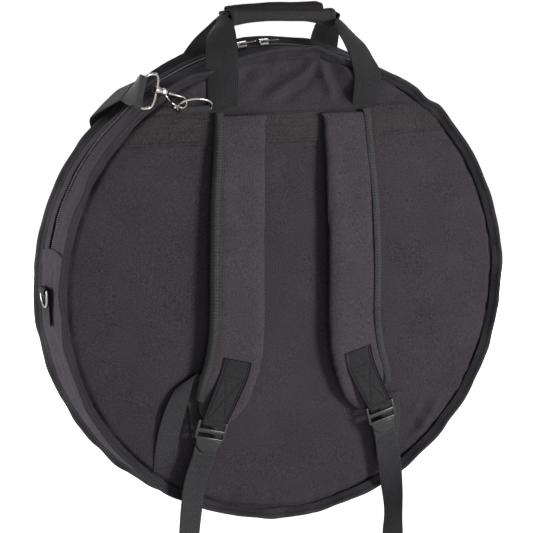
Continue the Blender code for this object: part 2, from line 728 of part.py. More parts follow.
def make_grip():
    """The padded wrap with a bore for both webbings, and the flap that closes it."""
    outer = rounded_outline(GRIP_WIDTH / 2.0, GRIP_HEIGHT / 2.0, GRIP_CORNER)
    bore_x = GRIP_BORE_WIDTH / 2.0
    bore_y = BORE_HEIGHT / 2.0
    bore = ((-bore_x, -bore_y), (bore_x, -bore_y), (bore_x, bore_y), (-bore_x, bore_y))
    middle = Vector((0.0, 0.0, GRIP_MIDDLE))
    lie = axes_matrix(middle, Vector((0.0, 1.0, 0.0)), Vector((0.0, 0.0, 1.0)), Vector((1.0, 0.0, 0.0)))
    plate("handle_wrap", (outer, bore), GRIP_LENGTH, lie, "padding", middle)
    top = DISC_DROP + GRIP_HEIGHT + CLEARANCE
    hinge = Vector((0.0, FLAP_WIDTH / 2.0, top + FLAP_THICKNESS / 2.0))
    size = Vector((FLAP_LENGTH, FLAP_WIDTH, FLAP_THICKNESS))
    shift = Vector((-(GRIP_LENGTH - FLAP_LENGTH) / 2.0, 0.0, top + FLAP_THICKNESS / 2.0))
    piece("wrap_closure_flap", box_bmesh(size, Matrix.Translation(shift)), "padding", hinge)


# D rings and their loops

BAR_OUT = 2.0 * CLEARANCE + WEBBING_THICKNESS + RING_WIRE
FOLD_RADIUS = RING_WIRE + CLEARANCE + WEBBING_THICKNESS / 2.0


def loop_rows(base, width, tab_length, return_length, pinched):
    """A webbing folded over a bar: down behind it, over its top and down in front."""
    across = base.col[0].to_3d()

    def row(out, up):
        return base @ Vector((0.0, out, up)), across, width

    back = BAR_OUT - FOLD_RADIUS
    rows = [row(back, -tab_length)]
    for k in range(9):
        angle = math.pi * k / 8.0
        rows.append(row(BAR_OUT - FOLD_RADIUS * math.cos(angle), FOLD_RADIUS * math.sin(angle)))
    if pinched:
        close = back + WEBBING_THICKNESS + CLEARANCE
        rows.append(row(close + FOLD_RADIUS, -return_length / 2.0))
        rows.append(row(close, -return_length))
    else:
        rows.append(row(BAR_OUT + FOLD_RADIUS, -return_length))
    return rows


def ring_points(base, width, height, direction):
    """A D ring: its bar in the loop and a round bow standing off to one side."""
    half = width / 2.0 + RING_SIDE_GAP + RING_WIRE
    points = []
    for share in (-1.0, -0.5, 0.0, 0.5, 1.0):
        points.append(base @ Vector((share * half, BAR_OUT, 0.0)))
    for k in range(1, 16):
        angle = math.pi * k / 16.0
        rise = direction * height * math.sin(angle) ** RING_ROUNDNESS_SHARE
        points.append(base @ (Vector((half * math.cos(angle), BAR_OUT, 0.0)) + rise))
    return points


def ring_set(suffix, base, width, tab_length, return_length, height, direction, pinched):
    """One loop and its D ring."""
    rows = loop_rows(base, width, tab_length, return_length, pinched)
    ribbon("ring_loop_" + suffix, rows, WEBBING_THICKNESS, "webbing")
    bar = base @ Vector((0.0, BAR_OUT, 0.0))
    tube("d_ring_" + suffix, ring_points(base, width, height, direction), RING_WIRE, "metal", bar, True)


def make_rings():
    """Top left, left side and right side rings."""
    up = Vector((0.0, 0.0, 1.0))
    top_base = axes_matrix(Vector((TOP_LOOP_X, PANEL_FRONT, BAND_TOP + TOP_LOOP_RISE)),
                           Vector((-1.0, 0.0, 0.0)), Vector((0.0, -1.0, 0.0)), up)
    tilt = math.radians(TOP_RING_TILT)
    bow = Vector((0.0, math.sin(tilt), math.cos(tilt)))
    short = TOP_LOOP_RISE - 2.0 * CLEARANCE
    ring_set("top", top_base, TOP_LOOP_WIDTH, short, short, TOP_RING_HEIGHT, bow, False)
    ring_set("left", side_base(SIDE_LOOP_ANGLE, LEFT_LOOP_Y), SIDE_LOOP_WIDTH, LOOP_TAB_LENGTH,
             LOOP_RETURN_LENGTH, SIDE_RING_HEIGHT, Vector((0.0, 0.0, -1.0)), True)
    lean = math.radians(RIGHT_RING_TILT)
    hang = Vector((0.0, math.sin(lean), -math.cos(lean)))
    ring_set("right", side_base(180.0 - SIDE_LOOP_ANGLE, RIGHT_LOOP_Y), SIDE_LOOP_WIDTH,
             LOOP_TAB_LENGTH, LOOP_RETURN_LENGTH, SIDE_RING_HEIGHT, hang, True)


def side_base(angle, y):
    """A base on the gusset whose outward axis is square to the gusset's wall.

    The loop's tab is straight, so the base stands on the tangent at the tab's middle.
    """
    left = angle > 90.0
    middle_angle = angle + math.degrees(LOOP_TAB_LENGTH / 2.0 / DISC_RADIUS) * (1.0 if left else -1.0)
    outward = polar(1.0, middle_angle, 0.0)
    up = Vector((-outward.z, 0.0, outward.x)) * (-1.0 if left else 1.0)
    half = SIDE_LOOP_WIDTH / 2.0
    foot = polar(gusset_radius(y + half), middle_angle, y)
    return axes_matrix(foot + up * LOOP_TAB_LENGTH / 2.0, outward.cross(up), outward, up)


# Snap hooks

def hook_points():
    """Centre line of the hook in its own plane: x towards the nose, z away from the gate."""
    points = [(BARREL_LENGTH / 2.0, 0.0), (BARREL_LENGTH + SHANK_LENGTH, 0.0)]
    centre_x = BARREL_LENGTH + SHANK_LENGTH
    for k in range(1, 9):
        angle = math.pi * k / 8.0
        points.append((centre_x + NOSE_RADIUS * math.sin(angle),
                       -NOSE_RADIUS + NOSE_RADIUS * math.cos(angle)))
    points.append((centre_x - NOSE_RADIUS * 0.6, -2.0 * NOSE_RADIUS))
    return points


def make_hook(suffix, base, frame_base):
    """Strap frame, swivelling hook body and sprung gate of one snap hook.

    In the base matrix X runs from the swivel to the ring and Z points away from the gate.
    """
    def at(x, z):
        return base @ Vector((x, 0.0, z))

    swivel = at(0.0, 0.0)
    barrel = rod("hook_body_" + suffix, at(CLEARANCE, 0.0), at(BARREL_LENGTH, 0.0), BARREL_RADIUS,
                 "metal", swivel, 14)
    hook = tube_to_mesh(tube("hook_rod_" + suffix, [at(x, z) for x, z in hook_points()], HOOK_ROD,
                             "metal", swivel))
    cut(barrel, hook, "UNION")
    pivot_x = BARREL_LENGTH + GATE_PIVOT_AHEAD
    arm_end = (pivot_x - GATE_ROD - CLEARANCE, GATE_PIVOT_DROP)
    arm_points = [(BARREL_LENGTH / 2.0, -BARREL_RADIUS / 2.0), (BARREL_LENGTH, -BARREL_RADIUS), arm_end]
    arm = tube_to_mesh(tube("hook_arm_" + suffix, [at(x, z) for x, z in arm_points], GATE_ROD,
                            "metal", swivel))
    cut(barrel, arm, "UNION")
    pin = rod("hook_pin_" + suffix, at(-BOSS_LENGTH / 2.0, 0.0), at(BARREL_LENGTH / 2.0, 0.0),
              HOOK_ROD, "metal", swivel)
    cut(barrel, pin, "UNION")
    make_gate(suffix, at, pivot_x)
    make_frame(suffix, frame_base)


def make_gate(suffix, at, pivot_x):
    """The gate: a thin rod from its pivot to the hook's point, with a thumb knob."""
    pivot = at(pivot_x, GATE_PIVOT_DROP)
    tip_z = -2.0 * NOSE_RADIUS
    gate = rod("hook_gate_" + suffix, pivot, at(pivot_x + GATE_LENGTH, tip_z), GATE_ROD, "metal", pivot)
    middle = (pivot + at(pivot_x + GATE_LENGTH, tip_z)) / 2.0
    out = (at(0.0, -1.0) - at(0.0, 0.0)).normalized()
    knob = rod("hook_knob_" + suffix, middle, middle + out * KNOB_LENGTH, KNOB_RADIUS, "metal", pivot)
    cut(gate, knob, "UNION")


def make_frame(suffix, base):
    """D-shaped frame that the strap is sewn round, with a bored boss for the swivel pin."""
    half = FRAME_HALF_WIDTH
    points = []
    for share in (-1.0, -0.5, 0.0, 0.5, 1.0):
        points.append(base @ Vector((-FRAME_REACH, 0.0, share * (half - FRAME_CORNER))))
    for k in range(0, 13):
        angle = math.pi * k / 12.0
        x = -FRAME_REACH + FRAME_CORNER + (FRAME_REACH - FRAME_CORNER - BOSS_LENGTH / 2.0) * math.sin(angle)
        points.append(base @ Vector((x, 0.0, half * math.cos(angle))))
    frame = tube_to_mesh(tube("snap_frame_" + suffix, points, FRAME_ROD, "metal", None, True))
    frame.data.materials.clear()
    frame.data.materials.append(material_for(frame.name, "metal"))
    boss = rod("snap_boss_" + suffix, base @ Vector((-BOSS_LENGTH, 0.0, 0.0)),
               base @ Vector((0.0, 0.0, 0.0)), BOSS_RADIUS, "metal", None, 14)
    cut(frame, boss, "UNION")
    deep = -BOSS_LENGTH / 2.0 - CLEARANCE
    bore = rod("snap_bore_" + suffix, base @ Vector((deep, 0.0, 0.0)), base @ Vector((BOSS_LENGTH, 0.0, 0.0)),
               HOOK_ROD + CLEARANCE, "metal", None)
    cut(frame, bore)


def hook_places():
    """Base of each hook and of its frame: the top ring's hook, then the right ring's."""
    top_bar = Vector((TOP_LOOP_X, PANEL_FRONT - BAR_OUT, BAND_TOP + TOP_LOOP_RISE))
    tilt = math.radians(TOP_RING_TILT)
    bow = Vector((0.0, -math.sin(tilt), math.cos(tilt))) * TOP_RING_HEIGHT
    half = TOP_LOOP_WIDTH / 2.0 + RING_SIDE_GAP + RING_WIRE
    rise_share = math.sin(math.acos(TOP_CONTACT_SHARE)) ** RING_ROUNDNESS_SHARE
    contact = top_bar + Vector((TOP_CONTACT_SHARE * half, 0.0, 0.0)) + bow * rise_share
    left = hook_base(contact, Vector((0.93, 0.33, -0.25)), Vector((0.0, -0.17, -0.985)))
    left_frame = turned_about(left, Vector((0.12, -0.10, 1.0)))
    right_base = side_base(180.0 - SIDE_LOOP_ANGLE, RIGHT_LOOP_Y)
    lean = math.radians(RIGHT_RING_TILT)
    hang = right_base.to_3x3() @ Vector((0.0, math.sin(lean), -math.cos(lean)))
    contact = right_base @ Vector((0.0, BAR_OUT, 0.0)) + hang * SIDE_RING_HEIGHT
    right = hook_base(contact, Vector((-0.12, -0.50, 0.86)), Vector((-1.0, 0.0, 0.0)))
    right_frame = turned_about(right, Vector((0.0, 1.0, 0.2)))
    return (left, left_frame), (right, right_frame)


def hook_base(contact, run, gate_way):
    """Place a hook so that its nose goes round the ring's wire at the contact."""
    along = run.normalized()
    gate = (gate_way - along * gate_way.dot(along)).normalized()
    lift = -gate
    origin = contact - along * (BARREL_LENGTH + SHANK_LENGTH) - gate * NOSE_RADIUS
    return axes_matrix(origin, along, lift.cross(along), lift)


def turned_about(base, up_way):
    """The same origin and x axis, with z brought as near as it goes to a direction."""
    along = base.col[0].to_3d()
    up = (up_way - along * up_way.dot(along)).normalized()
    return axes_matrix(base.translation, along, up.cross(along), up)


# Backpack straps

# Stations down the pad: centre x and z as shares of the disc's radius, how far the back
# stands off the panel as a share of the bag's depth, and the width as a share of the top's.
PAD_SHARES = (
    (PAD_TOP_SHARE, 0.745, 0.028, 1.00),
    (0.238, 0.560, 0.110, 1.01),
    (0.250, 0.350, 0.170, 1.06),
    (0.256, 0.120, 0.205, 1.09),
    (0.258, -0.130, 0.205, 1.10),
    (0.276, -0.290, 0.185, 1.12),
    (0.312, -0.400, 0.150, 1.10),
    (0.340, -0.480, 0.100, 0.95),
    (0.362, -0.550, 0.085, 0.50),
)


def pad_centre_rows(side):
    """Rows through the middle of the pad's thickness."""
    rows = []
    for x_share, z_share, off_share, width_share in PAD_SHARES:
        centre = Vector((side * x_share * DISC_RADIUS,
                         PANEL_FRONT - off_share * BAG_DEPTH - PAD_THICKNESS / 2.0,
                         z_share * DISC_RADIUS))
        rows.append((centre, Vector((1.0, 0.0, 0.0)), PAD_TOP_WIDTH * width_share))
    return square_rows(rows)


def square_rows(rows):
    """Turn each across direction square to the route, within the plane of X and Z."""
    out = []
    for i, (centre, across, width) in enumerate(rows):
        before = rows[max(i - 1, 0)][0]
        after = rows[min(i + 1, len(rows) - 1)][0]
        run = (after - before).normalized()
        flat = Vector((-run.z, 0.0, run.x)).normalized()
        if flat.x < 0.0:
            flat = -flat
        if i == 0:
            flat = across
        out.append((centre, flat, width))
    return out


def row_at(rows, z):
    """The row at a given height, between two neighbours."""
    for upper, lower in zip(rows, rows[1:]):
        if lower[0].z <= z <= upper[0].z:
            t = (upper[0].z - z) / (upper[0].z - lower[0].z)
            return (upper[0].lerp(lower[0], t), upper[1].lerp(lower[1], t).normalized(),
                    upper[2] + (lower[2] - upper[2]) * t)
    return rows[-1]


def strap_pivot(side):
    """A point on the top seam's hinge line, behind the pad's top edge."""
    x_share, z_share, off_share, width_share = PAD_SHARES[0]
    return Vector((side * x_share * DISC_RADIUS, PANEL_FRONT - BAND_THICKNESS - CLEARANCE * 2.0,
                   z_share * DISC_RADIUS))


def make_pad(name, side):
    """Pad, edge tape on the outer side and the webbing tab that holds the buckle."""
    pivot = strap_pivot(side)
    rows = smooth_rows(pad_centre_rows(side), 3)
    ribbon("backpack_pad_" + name, rows, PAD_THICKNESS, "padding", pivot)
    lift = Vector((0.0, -(PAD_THICKNESS / 2.0 + SURFACE_GAP + TAPE_THICKNESS / 2.0), 0.0))
    edge_rows = []
    for centre, across, width in rows[:-4]:
        shift = across * side * (width - PAD_EDGE_TAPE) / 2.0
        edge_rows.append((centre + shift + lift, across, PAD_EDGE_TAPE))
    ribbon("pad_binding_" + name, edge_rows, TAPE_THICKNESS, "webbing", pivot)
    make_tab(name, side, rows, pivot)


def lock_base(side):
    """Placing of a buckle: x across it, y away from the bag, z up along the strap."""
    lean = math.radians(LOCK_LEAN)
    up = Vector((-side * math.sin(lean), 0.0, math.cos(lean)))
    outward = Vector((0.0, -1.0, 0.0))
    top = Vector((side * LOCK_TOP_X, PANEL_FRONT - LOCK_FRONT, LOCK_TOP_Z))
    return axes_matrix(top, outward.cross(up), outward, up)


def make_tab(name, side, pad_rows, pivot):
    """Webbing tab on the pad's face, folded round the buckle's top bar."""
    base = lock_base(side)
    across = base.col[0].to_3d()
    rows = []
    lift = Vector((0.0, -(PAD_THICKNESS / 2.0 + SURFACE_GAP + WEBBING_THICKNESS / 2.0), 0.0))
    for z in (TAB_TOP_Z, (TAB_TOP_Z * 2.0 + LOCK_TOP_Z) / 3.0):
        centre, flat, width = row_at(pad_rows, z)
        rows.append((centre + lift, across, LOAD_WIDTH))
    fold = LOCK_BAR * math.sqrt(0.5) + CLEARANCE + WEBBING_THICKNESS / 2.0
    for k in range(9):
        angle = math.pi * k / 8.0
        point = Vector((0.0, fold * math.cos(angle), -fold * math.sin(angle)))
        rows.append((base @ point, across, LOAD_WIDTH))
    rows.append((base @ Vector((0.0, -fold, fold)), across, LOAD_WIDTH))
    ribbon("pad_tab_" + name, rows, WEBBING_THICKNESS, "webbing", pivot)


# Ladder locks, load webbings and tails

def make_lock(name, side):
    """Buckle: two side rails, a top bar, two rungs and a half-round tongue."""
    base = lock_base(side)
    half = LOCK_WIDTH / 2.0
    top = LOCK_BAR / 2.0
    straight = LOCK_LENGTH - half
    outline = [(half, top), (-half, top), (-half, top - straight)]
    for k in range(1, 12):
        angle = math.pi + math.pi * k / 12.0
        outline.append((half * math.cos(angle), top - straight + half * math.sin(angle)))
    outline.append((half, top - straight))
    holes = []
    slot_top = -top
    for k in range(2):
        slot_bottom = slot_top - LOCK_SLOT
        holes.append([(-LOCK_SLOT_WIDTH / 2.0, slot_bottom), (LOCK_SLOT_WIDTH / 2.0, slot_bottom),
                      (LOCK_SLOT_WIDTH / 2.0, slot_top), (-LOCK_SLOT_WIDTH / 2.0, slot_top)])
        slot_top = slot_bottom - LOCK_RUNG
    stand = base @ Matrix.Rotation(math.radians(90.0), 4, "X")
    plate("ladder_lock_" + name, [outline] + holes, LOCK_THICKNESS, stand, "plastic", base.translation)


def tail_start(side):
    """Hinge of a tail, just behind and below the buckle's tongue."""
    base = lock_base(side)
    below = LOCK_BAR / 2.0 - LOCK_LENGTH - 2.0 * CLEARANCE
    behind = -(LOCK_THICKNESS + WEBBING_THICKNESS) / 2.0 - CLEARANCE
    return base @ Vector((0.0, behind, below))


# Places of each tail below its hinge: sideways and down as shares of its drop, the
# across direction as (x, y), and the share of the way that it stands off the bag.
TAIL_SHARES = {
    "left": ((0.00, 0.00, (1.00, 0.00), 0.00), (-0.07, 0.20, (1.00, 0.05), 0.01),
             (-0.11, 0.50, (0.98, 0.20), 0.02), (-0.13, 0.75, (1.00, 0.10), 0.02),
             (-0.15, 1.00, (1.00, 0.00), 0.02)),
    "right": ((0.00, 0.00, (1.00, 0.00), 0.00), (0.03, 0.20, (0.90, -0.40), 0.01),
              (0.05, 0.50, (0.45, -0.90), 0.03), (0.05, 0.70, (0.62, -0.80), 0.03),
              (0.06, 1.00, (0.75, -0.66), 0.03)),
}


def make_tail(name, side):
    """The loose end of the load webbing, hanging from the buckle."""
    start = tail_start(side)
    drop = start.z - TAIL_END_Z
    rows = []
    for x_share, z_share, lean, off_share in TAIL_SHARES[name]:
        centre = start + Vector((x_share * drop, -off_share * drop, -z_share * drop))
        across = Vector((lean[0], lean[1], 0.0)).normalized()
        rows.append((centre, across, LOAD_WIDTH))
    first = lock_base(side).col[0].to_3d()
    if first.x < 0.0:
        first = -first
    rows[0] = (start, first, LOAD_WIDTH)
    ribbon("strap_tail_" + name, smooth_rows(rows, 5), WEBBING_THICKNESS, "webbing", start)


# Route of a load webbing from its anchor at the lower rim, up, over and down behind the
# pad: x and z as shares of the disc's radius, distance off the panel as a share of the
# bag's depth, and the across direction.
LOAD_SHARES = {
    "left": ((0.572, -0.725, 0.016, (1.00, 0.00, 0.25)), (0.566, -0.660, 0.030, (1.00, 0.00, 0.20)),
             (0.552, -0.560, 0.090, (1.00, -0.05, 0.15)), (0.528, -0.460, 0.150, (0.95, -0.10, 0.25)),
             (0.500, -0.385, 0.160, (0.85, -0.15, 0.45)), (0.474, -0.352, 0.130, (0.80, -0.12, 0.50)),
             (0.444, -0.395, 0.085, (0.95, -0.04, 0.25)), (0.418, -0.470, 0.070, (1.00, 0.00, 0.12)),
             (0.408, -0.560, 0.065, (1.00, 0.00, 0.10)), (0.404, -0.605, 0.110, (1.00, 0.00, 0.10))),
    "right": ((0.450, -0.805, 0.016, (1.00, 0.00, -0.30)), (0.455, -0.740, 0.020, (1.00, 0.00, -0.20)),
              (0.468, -0.630, 0.026, (1.00, 0.00, -0.10)), (0.466, -0.545, 0.036, (1.00, 0.00, 0.00)),
              (0.458, -0.500, 0.052, (1.00, 0.00, 0.05)), (0.436, -0.530, 0.062, (1.00, 0.00, 0.10)),
              (0.416, -0.605, 0.085, (1.00, 0.00, 0.10))),
}


def make_load_webbing(name, side):
    """Webbing from its anchor on the panel to the back of the buckle."""
    rows = []
    for x_share, z_share, off_share, lean in LOAD_SHARES[name]:
        centre = Vector((side * x_share * DISC_RADIUS, PANEL_FRONT - off_share * BAG_DEPTH,
                         z_share * DISC_RADIUS))
        rows.append((centre, Vector(lean).normalized(), LOAD_WIDTH))
    base = lock_base(side)
    rung = -(LOCK_BAR / 2.0 + 2.0 * LOCK_SLOT + 2.0 * LOCK_RUNG)
    behind = -(LOCK_THICKNESS / 2.0 + WEBBING_THICKNESS / 2.0 + CLEARANCE * 2.0)
    across = base.col[0].to_3d()
    if across.x < 0.0:
        across = -across
    rows.append((base @ Vector((0.0, behind, rung)), across, LOAD_WIDTH))
    ribbon("load_webbing_" + name, smooth_rows(rows, 4), WEBBING_THICKNESS, "webbing")


# Shoulder strap

# Route from the left hook's frame over the rim, down the unseen side and up to the right
# hook's frame: x, y and z as shares of the disc's radius, and the across direction.
STRAP_SHARES = (
    (-0.690, -0.130, 0.780, (-0.70, 0.20, -0.68)),
    (-0.735, 0.000, 0.745, (-0.68, 0.12, -0.72)),
    (-0.780, 0.085, 0.700, (-0.66, 0.20, -0.70)),
    (-0.830, 0.165, 0.655, (-0.68, 0.38, -0.60)),
    (-0.850, 0.225, 0.560, (-0.80, 0.55, -0.20)),
    (-0.825, 0.265, 0.380, (-0.70, 0.70, -0.05)),
    (-0.740, 0.300, 0.130, (-0.40, 0.90, 0.00)),
    (-0.570, 0.300, -0.130, (-0.10, 1.00, 0.00)),
    (-0.320, 0.300, -0.360, (0.00, 1.00, 0.00)),
    (-0.020, 0.300, -0.490, (0.00, 1.00, 0.00)),
    (0.300, 0.300, -0.530, (0.00, 1.00, 0.00)),
    (0.600, 0.300, -0.520, (0.00, 1.00, 0.05)),
    (0.860, 0.300, -0.480, (0.00, 1.00, 0.10)),
    (1.040, 0.285, -0.410, (0.00, 0.95, 0.20)),
    (1.115, 0.225, -0.305, (0.00, 0.89, 0.45)),
)


def frame_fold(frame_base, tail_way, width):
    """Rows of webbing folded round a frame's straight bar, ending towards the route."""
    bar = frame_base @ Vector((-FRAME_REACH, 0.0, 0.0))
    across = frame_base.col[2].to_3d()
    out = -frame_base.col[0].to_3d()
    side = frame_base.col[1].to_3d()
    fold = FRAME_ROD + CLEARANCE + WEBBING_THICKNESS / 2.0
    rows = [(bar + out * fold * 2.2 - side * fold * tail_way, across, width)]
    for k in range(7):
        angle = math.pi * k / 6.0
        point = bar - out * fold * math.sin(angle) - side * fold * tail_way * math.cos(angle)
        rows.append((point, across, width))
    rows.append((bar + side * (fold + STRAP_LEAD) * tail_way, across, width))
    return rows


def facing(rows, across):
    """The same rows with their across directions turned to agree with another one."""
    sign = 1.0 if rows[-1][1].dot(across) > 0.0 else -1.0
    return [(centre, way * sign, width) for centre, way, width in rows]


def strap_rows():
    """Rows of the shoulder strap: its fold on each frame, and the route between them."""
    (_, left_frame), (_, right_frame) = hook_places()
    route = []
    for x_share, y_share, z_share, lean in STRAP_SHARES:
        centre = Vector((x_share, y_share, z_share)) * DISC_RADIUS
        route.append((centre, Vector(lean).normalized(), STRAP_WIDTH))
    first = facing(frame_fold(left_frame, 1.0, STRAP_WIDTH), route[0][1])
    last = facing(frame_fold(right_frame, -1.0, STRAP_WIDTH), route[-1][1])
    middle = straightened(smooth_rows([first[-1]] + route + [last[-1]], 4))
    return first, middle, last


def straightened(rows):
    """Make the adjuster's stretch of the strap flat and straight, so that it can slide."""
    index = int(len(rows) * ADJUSTER_PLACE_SHARE)
    here, across, width = rows[index]
    ahead = (rows[index + 1][0] - rows[index - 1][0]).normalized()
    across = (across - ahead * across.dot(ahead)).normalized()
    reach = ADJUSTER_LENGTH / 2.0 + ADJUSTER_TRAVEL + ADJUSTER_GAP
    stretch = [(here + ahead * share * reach, across, width) for share in (-1.0, 0.0, 1.0)]
    return rows[:index - 1] + stretch + rows[index + 2:]


def adjuster_base(rows):
    """Placing of the adjuster: x across the strap, z along it."""
    index = int(len(rows) * ADJUSTER_PLACE_SHARE)
    here, across, width = rows[index]
    ahead = (rows[index + 1][0] - here).normalized()
    return axes_matrix(here, across, ahead.cross(across), ahead)


def make_shoulder_strap():
    """The strap's webbing, folded round both hook frames, and its slide adjuster."""
    first, middle, last = strap_rows()
    rows = first + middle[1:-1] + last[::-1]
    ribbon("shoulder_strap_webbing", rows, WEBBING_THICKNESS, "webbing")
    length = sum((b[0] - a[0]).length for a, b in zip(middle, middle[1:]))
    print("shoulder strap length between frames", round(length, 3))
    make_adjuster(adjuster_base(middle))


def make_adjuster(base):
    """A plastic slide: a rim round the webbing, with two windows and a bar between them."""
    here = base.translation
    inner = Vector((STRAP_WIDTH + 2.0 * ADJUSTER_GAP, WEBBING_THICKNESS + 2.0 * ADJUSTER_GAP,
                    ADJUSTER_LENGTH * 2.0))
    outer = Vector((inner.x + 2.0 * ADJUSTER_RIM, inner.y + 2.0 * WEBBING_THICKNESS, ADJUSTER_LENGTH))
    body = piece("strap_adjuster", box_bmesh(outer, base), "plastic", here)
    cut(body, piece("adjuster_slot", box_bmesh(inner, base), "plastic", here))
    window_size = Vector((STRAP_WIDTH - 2.0 * ADJUSTER_GAP, outer.y * 2.0, ADJUSTER_RIM))
    for letter, share in (("a", -WINDOW_PLACE_SHARE), ("b", WINDOW_PLACE_SHARE)):
        spot = base @ Matrix.Translation((0.0, 0.0, share * ADJUSTER_LENGTH))
        cut(body, piece("adjuster_window_" + letter, box_bmesh(window_size, spot), "plastic", here))


def report_axes():
    """Print where each moving piece turns, in the object's own frame."""
    bpy.context.view_layer.update()
    for obj in PARTS.objects:
        if obj.type != "EMPTY":
            spot = obj.matrix_world.translation
            if (spot - HUB.location).length > CLEARANCE:
                print("pivot", obj.name, [round(value, 5) for value in spot])


def main():
    """Build every piece."""
    make_face_layers("strap_side", -1.0)
    make_face_layers("pocket_side", 1.0)
    make_dividers()
    make_gusset()
    make_binding("strap_side_binding", -1.0)
    make_binding("pocket_side_binding", 1.0)
    make_band()
    make_pocket()
    make_main_sliders()
    make_handle_webbing("handle_webbing_strap_side", NEAR_LEG_SHARES, -1.0, -1.0)
    make_handle_webbing("handle_webbing_pocket_side", FAR_LEG_SHARES, 1.0, 1.0)
    make_grip()
    make_rings()
    for name, (base, frame_base) in zip(("left", "right"), hook_places()):
        make_hook(name, base, frame_base)
    for name, side in (("left", -1.0), ("right", 1.0)):
        make_pad(name, side)
        make_lock(name, side)
        make_tail(name, side)
        make_load_webbing(name, side)
    make_shoulder_strap()
    report_axes()


main()
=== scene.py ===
# %% [markdown]
# A bag for cymbals is a round padded case, sewn from black woven polyester and hung here by
# its carry handle. This lesson dresses its fixed frame of plain solids in cloth, webbing,
# padding, thread, zips and metal. Everything is modelled from the middle of the disc and
# moved to its place at the end, so the sums stay simple.
# %% Load the frame
import math

import bmesh
import bpy
from mathutils import Matrix, Vector, noise


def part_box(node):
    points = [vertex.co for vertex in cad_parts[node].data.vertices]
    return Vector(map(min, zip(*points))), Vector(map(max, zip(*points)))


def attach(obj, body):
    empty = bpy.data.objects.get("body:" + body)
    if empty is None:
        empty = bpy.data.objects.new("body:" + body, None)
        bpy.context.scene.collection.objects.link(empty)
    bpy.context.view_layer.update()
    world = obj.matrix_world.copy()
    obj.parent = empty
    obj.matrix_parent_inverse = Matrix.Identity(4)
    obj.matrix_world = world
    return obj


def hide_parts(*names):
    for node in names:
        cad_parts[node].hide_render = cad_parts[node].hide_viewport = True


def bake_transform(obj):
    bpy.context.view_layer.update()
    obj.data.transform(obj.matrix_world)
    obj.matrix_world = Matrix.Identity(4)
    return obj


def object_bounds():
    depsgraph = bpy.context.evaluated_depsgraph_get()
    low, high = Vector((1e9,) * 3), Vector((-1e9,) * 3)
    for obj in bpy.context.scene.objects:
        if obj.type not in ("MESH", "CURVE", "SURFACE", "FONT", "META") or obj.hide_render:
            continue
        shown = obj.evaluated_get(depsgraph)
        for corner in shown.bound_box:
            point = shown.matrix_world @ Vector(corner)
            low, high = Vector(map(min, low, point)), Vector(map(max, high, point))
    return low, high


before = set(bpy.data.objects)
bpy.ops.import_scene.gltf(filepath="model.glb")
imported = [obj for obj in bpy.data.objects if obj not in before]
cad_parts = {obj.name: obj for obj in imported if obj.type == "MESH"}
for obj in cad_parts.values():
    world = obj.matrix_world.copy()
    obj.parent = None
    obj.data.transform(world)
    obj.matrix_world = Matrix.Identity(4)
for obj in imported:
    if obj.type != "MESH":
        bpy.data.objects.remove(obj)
cad_low, cad_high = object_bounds()
near_low, near_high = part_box("strap_side_panel")
far_low, far_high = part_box("pocket_side_panel")
CENTRE = Vector((0.0, 0.0, (near_low.z + near_high.z) / 2.0))
PANEL_RADIUS = (near_high.x - near_low.x) / 2.0
FAR_PANEL_RADIUS = (far_high.x - far_low.x) / 2.0
FRONT_Y = near_low.y
BACK_Y = far_high.y
PANEL_INSET = 0.0015
NEAR_RADIUS = PANEL_RADIUS + PANEL_INSET
FAR_RADIUS = FAR_PANEL_RADIUS + PANEL_INSET
DISC_RADIUS = (NEAR_RADIUS + FAR_RADIUS) / 2.0
DEPTH = BACK_Y - FRONT_Y
HALF_DEPTH = DEPTH / 2.0
CLEARANCE = 0.0003
PANEL_THICKNESS = near_high.y - near_low.y
WEBBING_THICKNESS = 0.0015
RIGHT = Vector((1.0, 0.0, 0.0))
BACKWARD = Vector((0.0, 1.0, 0.0))
UP = Vector((0.0, 0.0, 1.0))
SIDES = (("left", -1.0), ("right", 1.0))
scene = bpy.context.scene
print("panel radius", round(PANEL_RADIUS, 4), "depth", round(DEPTH, 4))

# %% [markdown]
# Cloth shapes come from functions: a grid is made once, and a function of two shares, 0 to 1
# across and 0 to 1 along, says where each point goes. The same grid keeps a flat UV map in
# metres, so that a weave has its true size and follows the cloth round every bend.
# %% Shares, noise and round places


def smooth_step(low, high, value):
    """0 below low, 1 above high and a soft ramp between."""
    t = min(1.0, max(0.0, (value - low) / (high - low)))
    return t * t * (3.0 - 2.0 * t)


def hill(gap, width):
    """1 at no gap, falling softly to nothing over a width or two."""
    return math.exp(-(gap / width) ** 2)


def wander(x, y, z, scale, height):
    """Smooth noise of a given scale and height."""
    return noise.noise(Vector((x, y, z)) * scale) * height


def ripples(x, z, waves):
    """Noise on a face from a list of waves, each a seed, a scale and a height."""
    return sum(wander(x, seed, z, scale, height) for seed, scale, height in waves)


def polar(radius, degrees, y):
    """A point at a radius and an angle from +X towards +Z."""
    angle = math.radians(degrees)
    return Vector((radius * math.cos(angle), y, radius * math.sin(angle)))


def gusset_radius(y):
    """The gusset is a cone, wider at the pocket side."""
    return NEAR_RADIUS + (FAR_RADIUS - NEAR_RADIUS) * (y - FRONT_Y) / DEPTH


def axes_matrix(origin, across, outward, up):
    """A placing matrix from three directions that are square to each other."""
    matrix = Matrix((across, outward, up)).transposed().to_4x4()
    matrix.translation = origin
    return matrix


# %% Meshes and objects


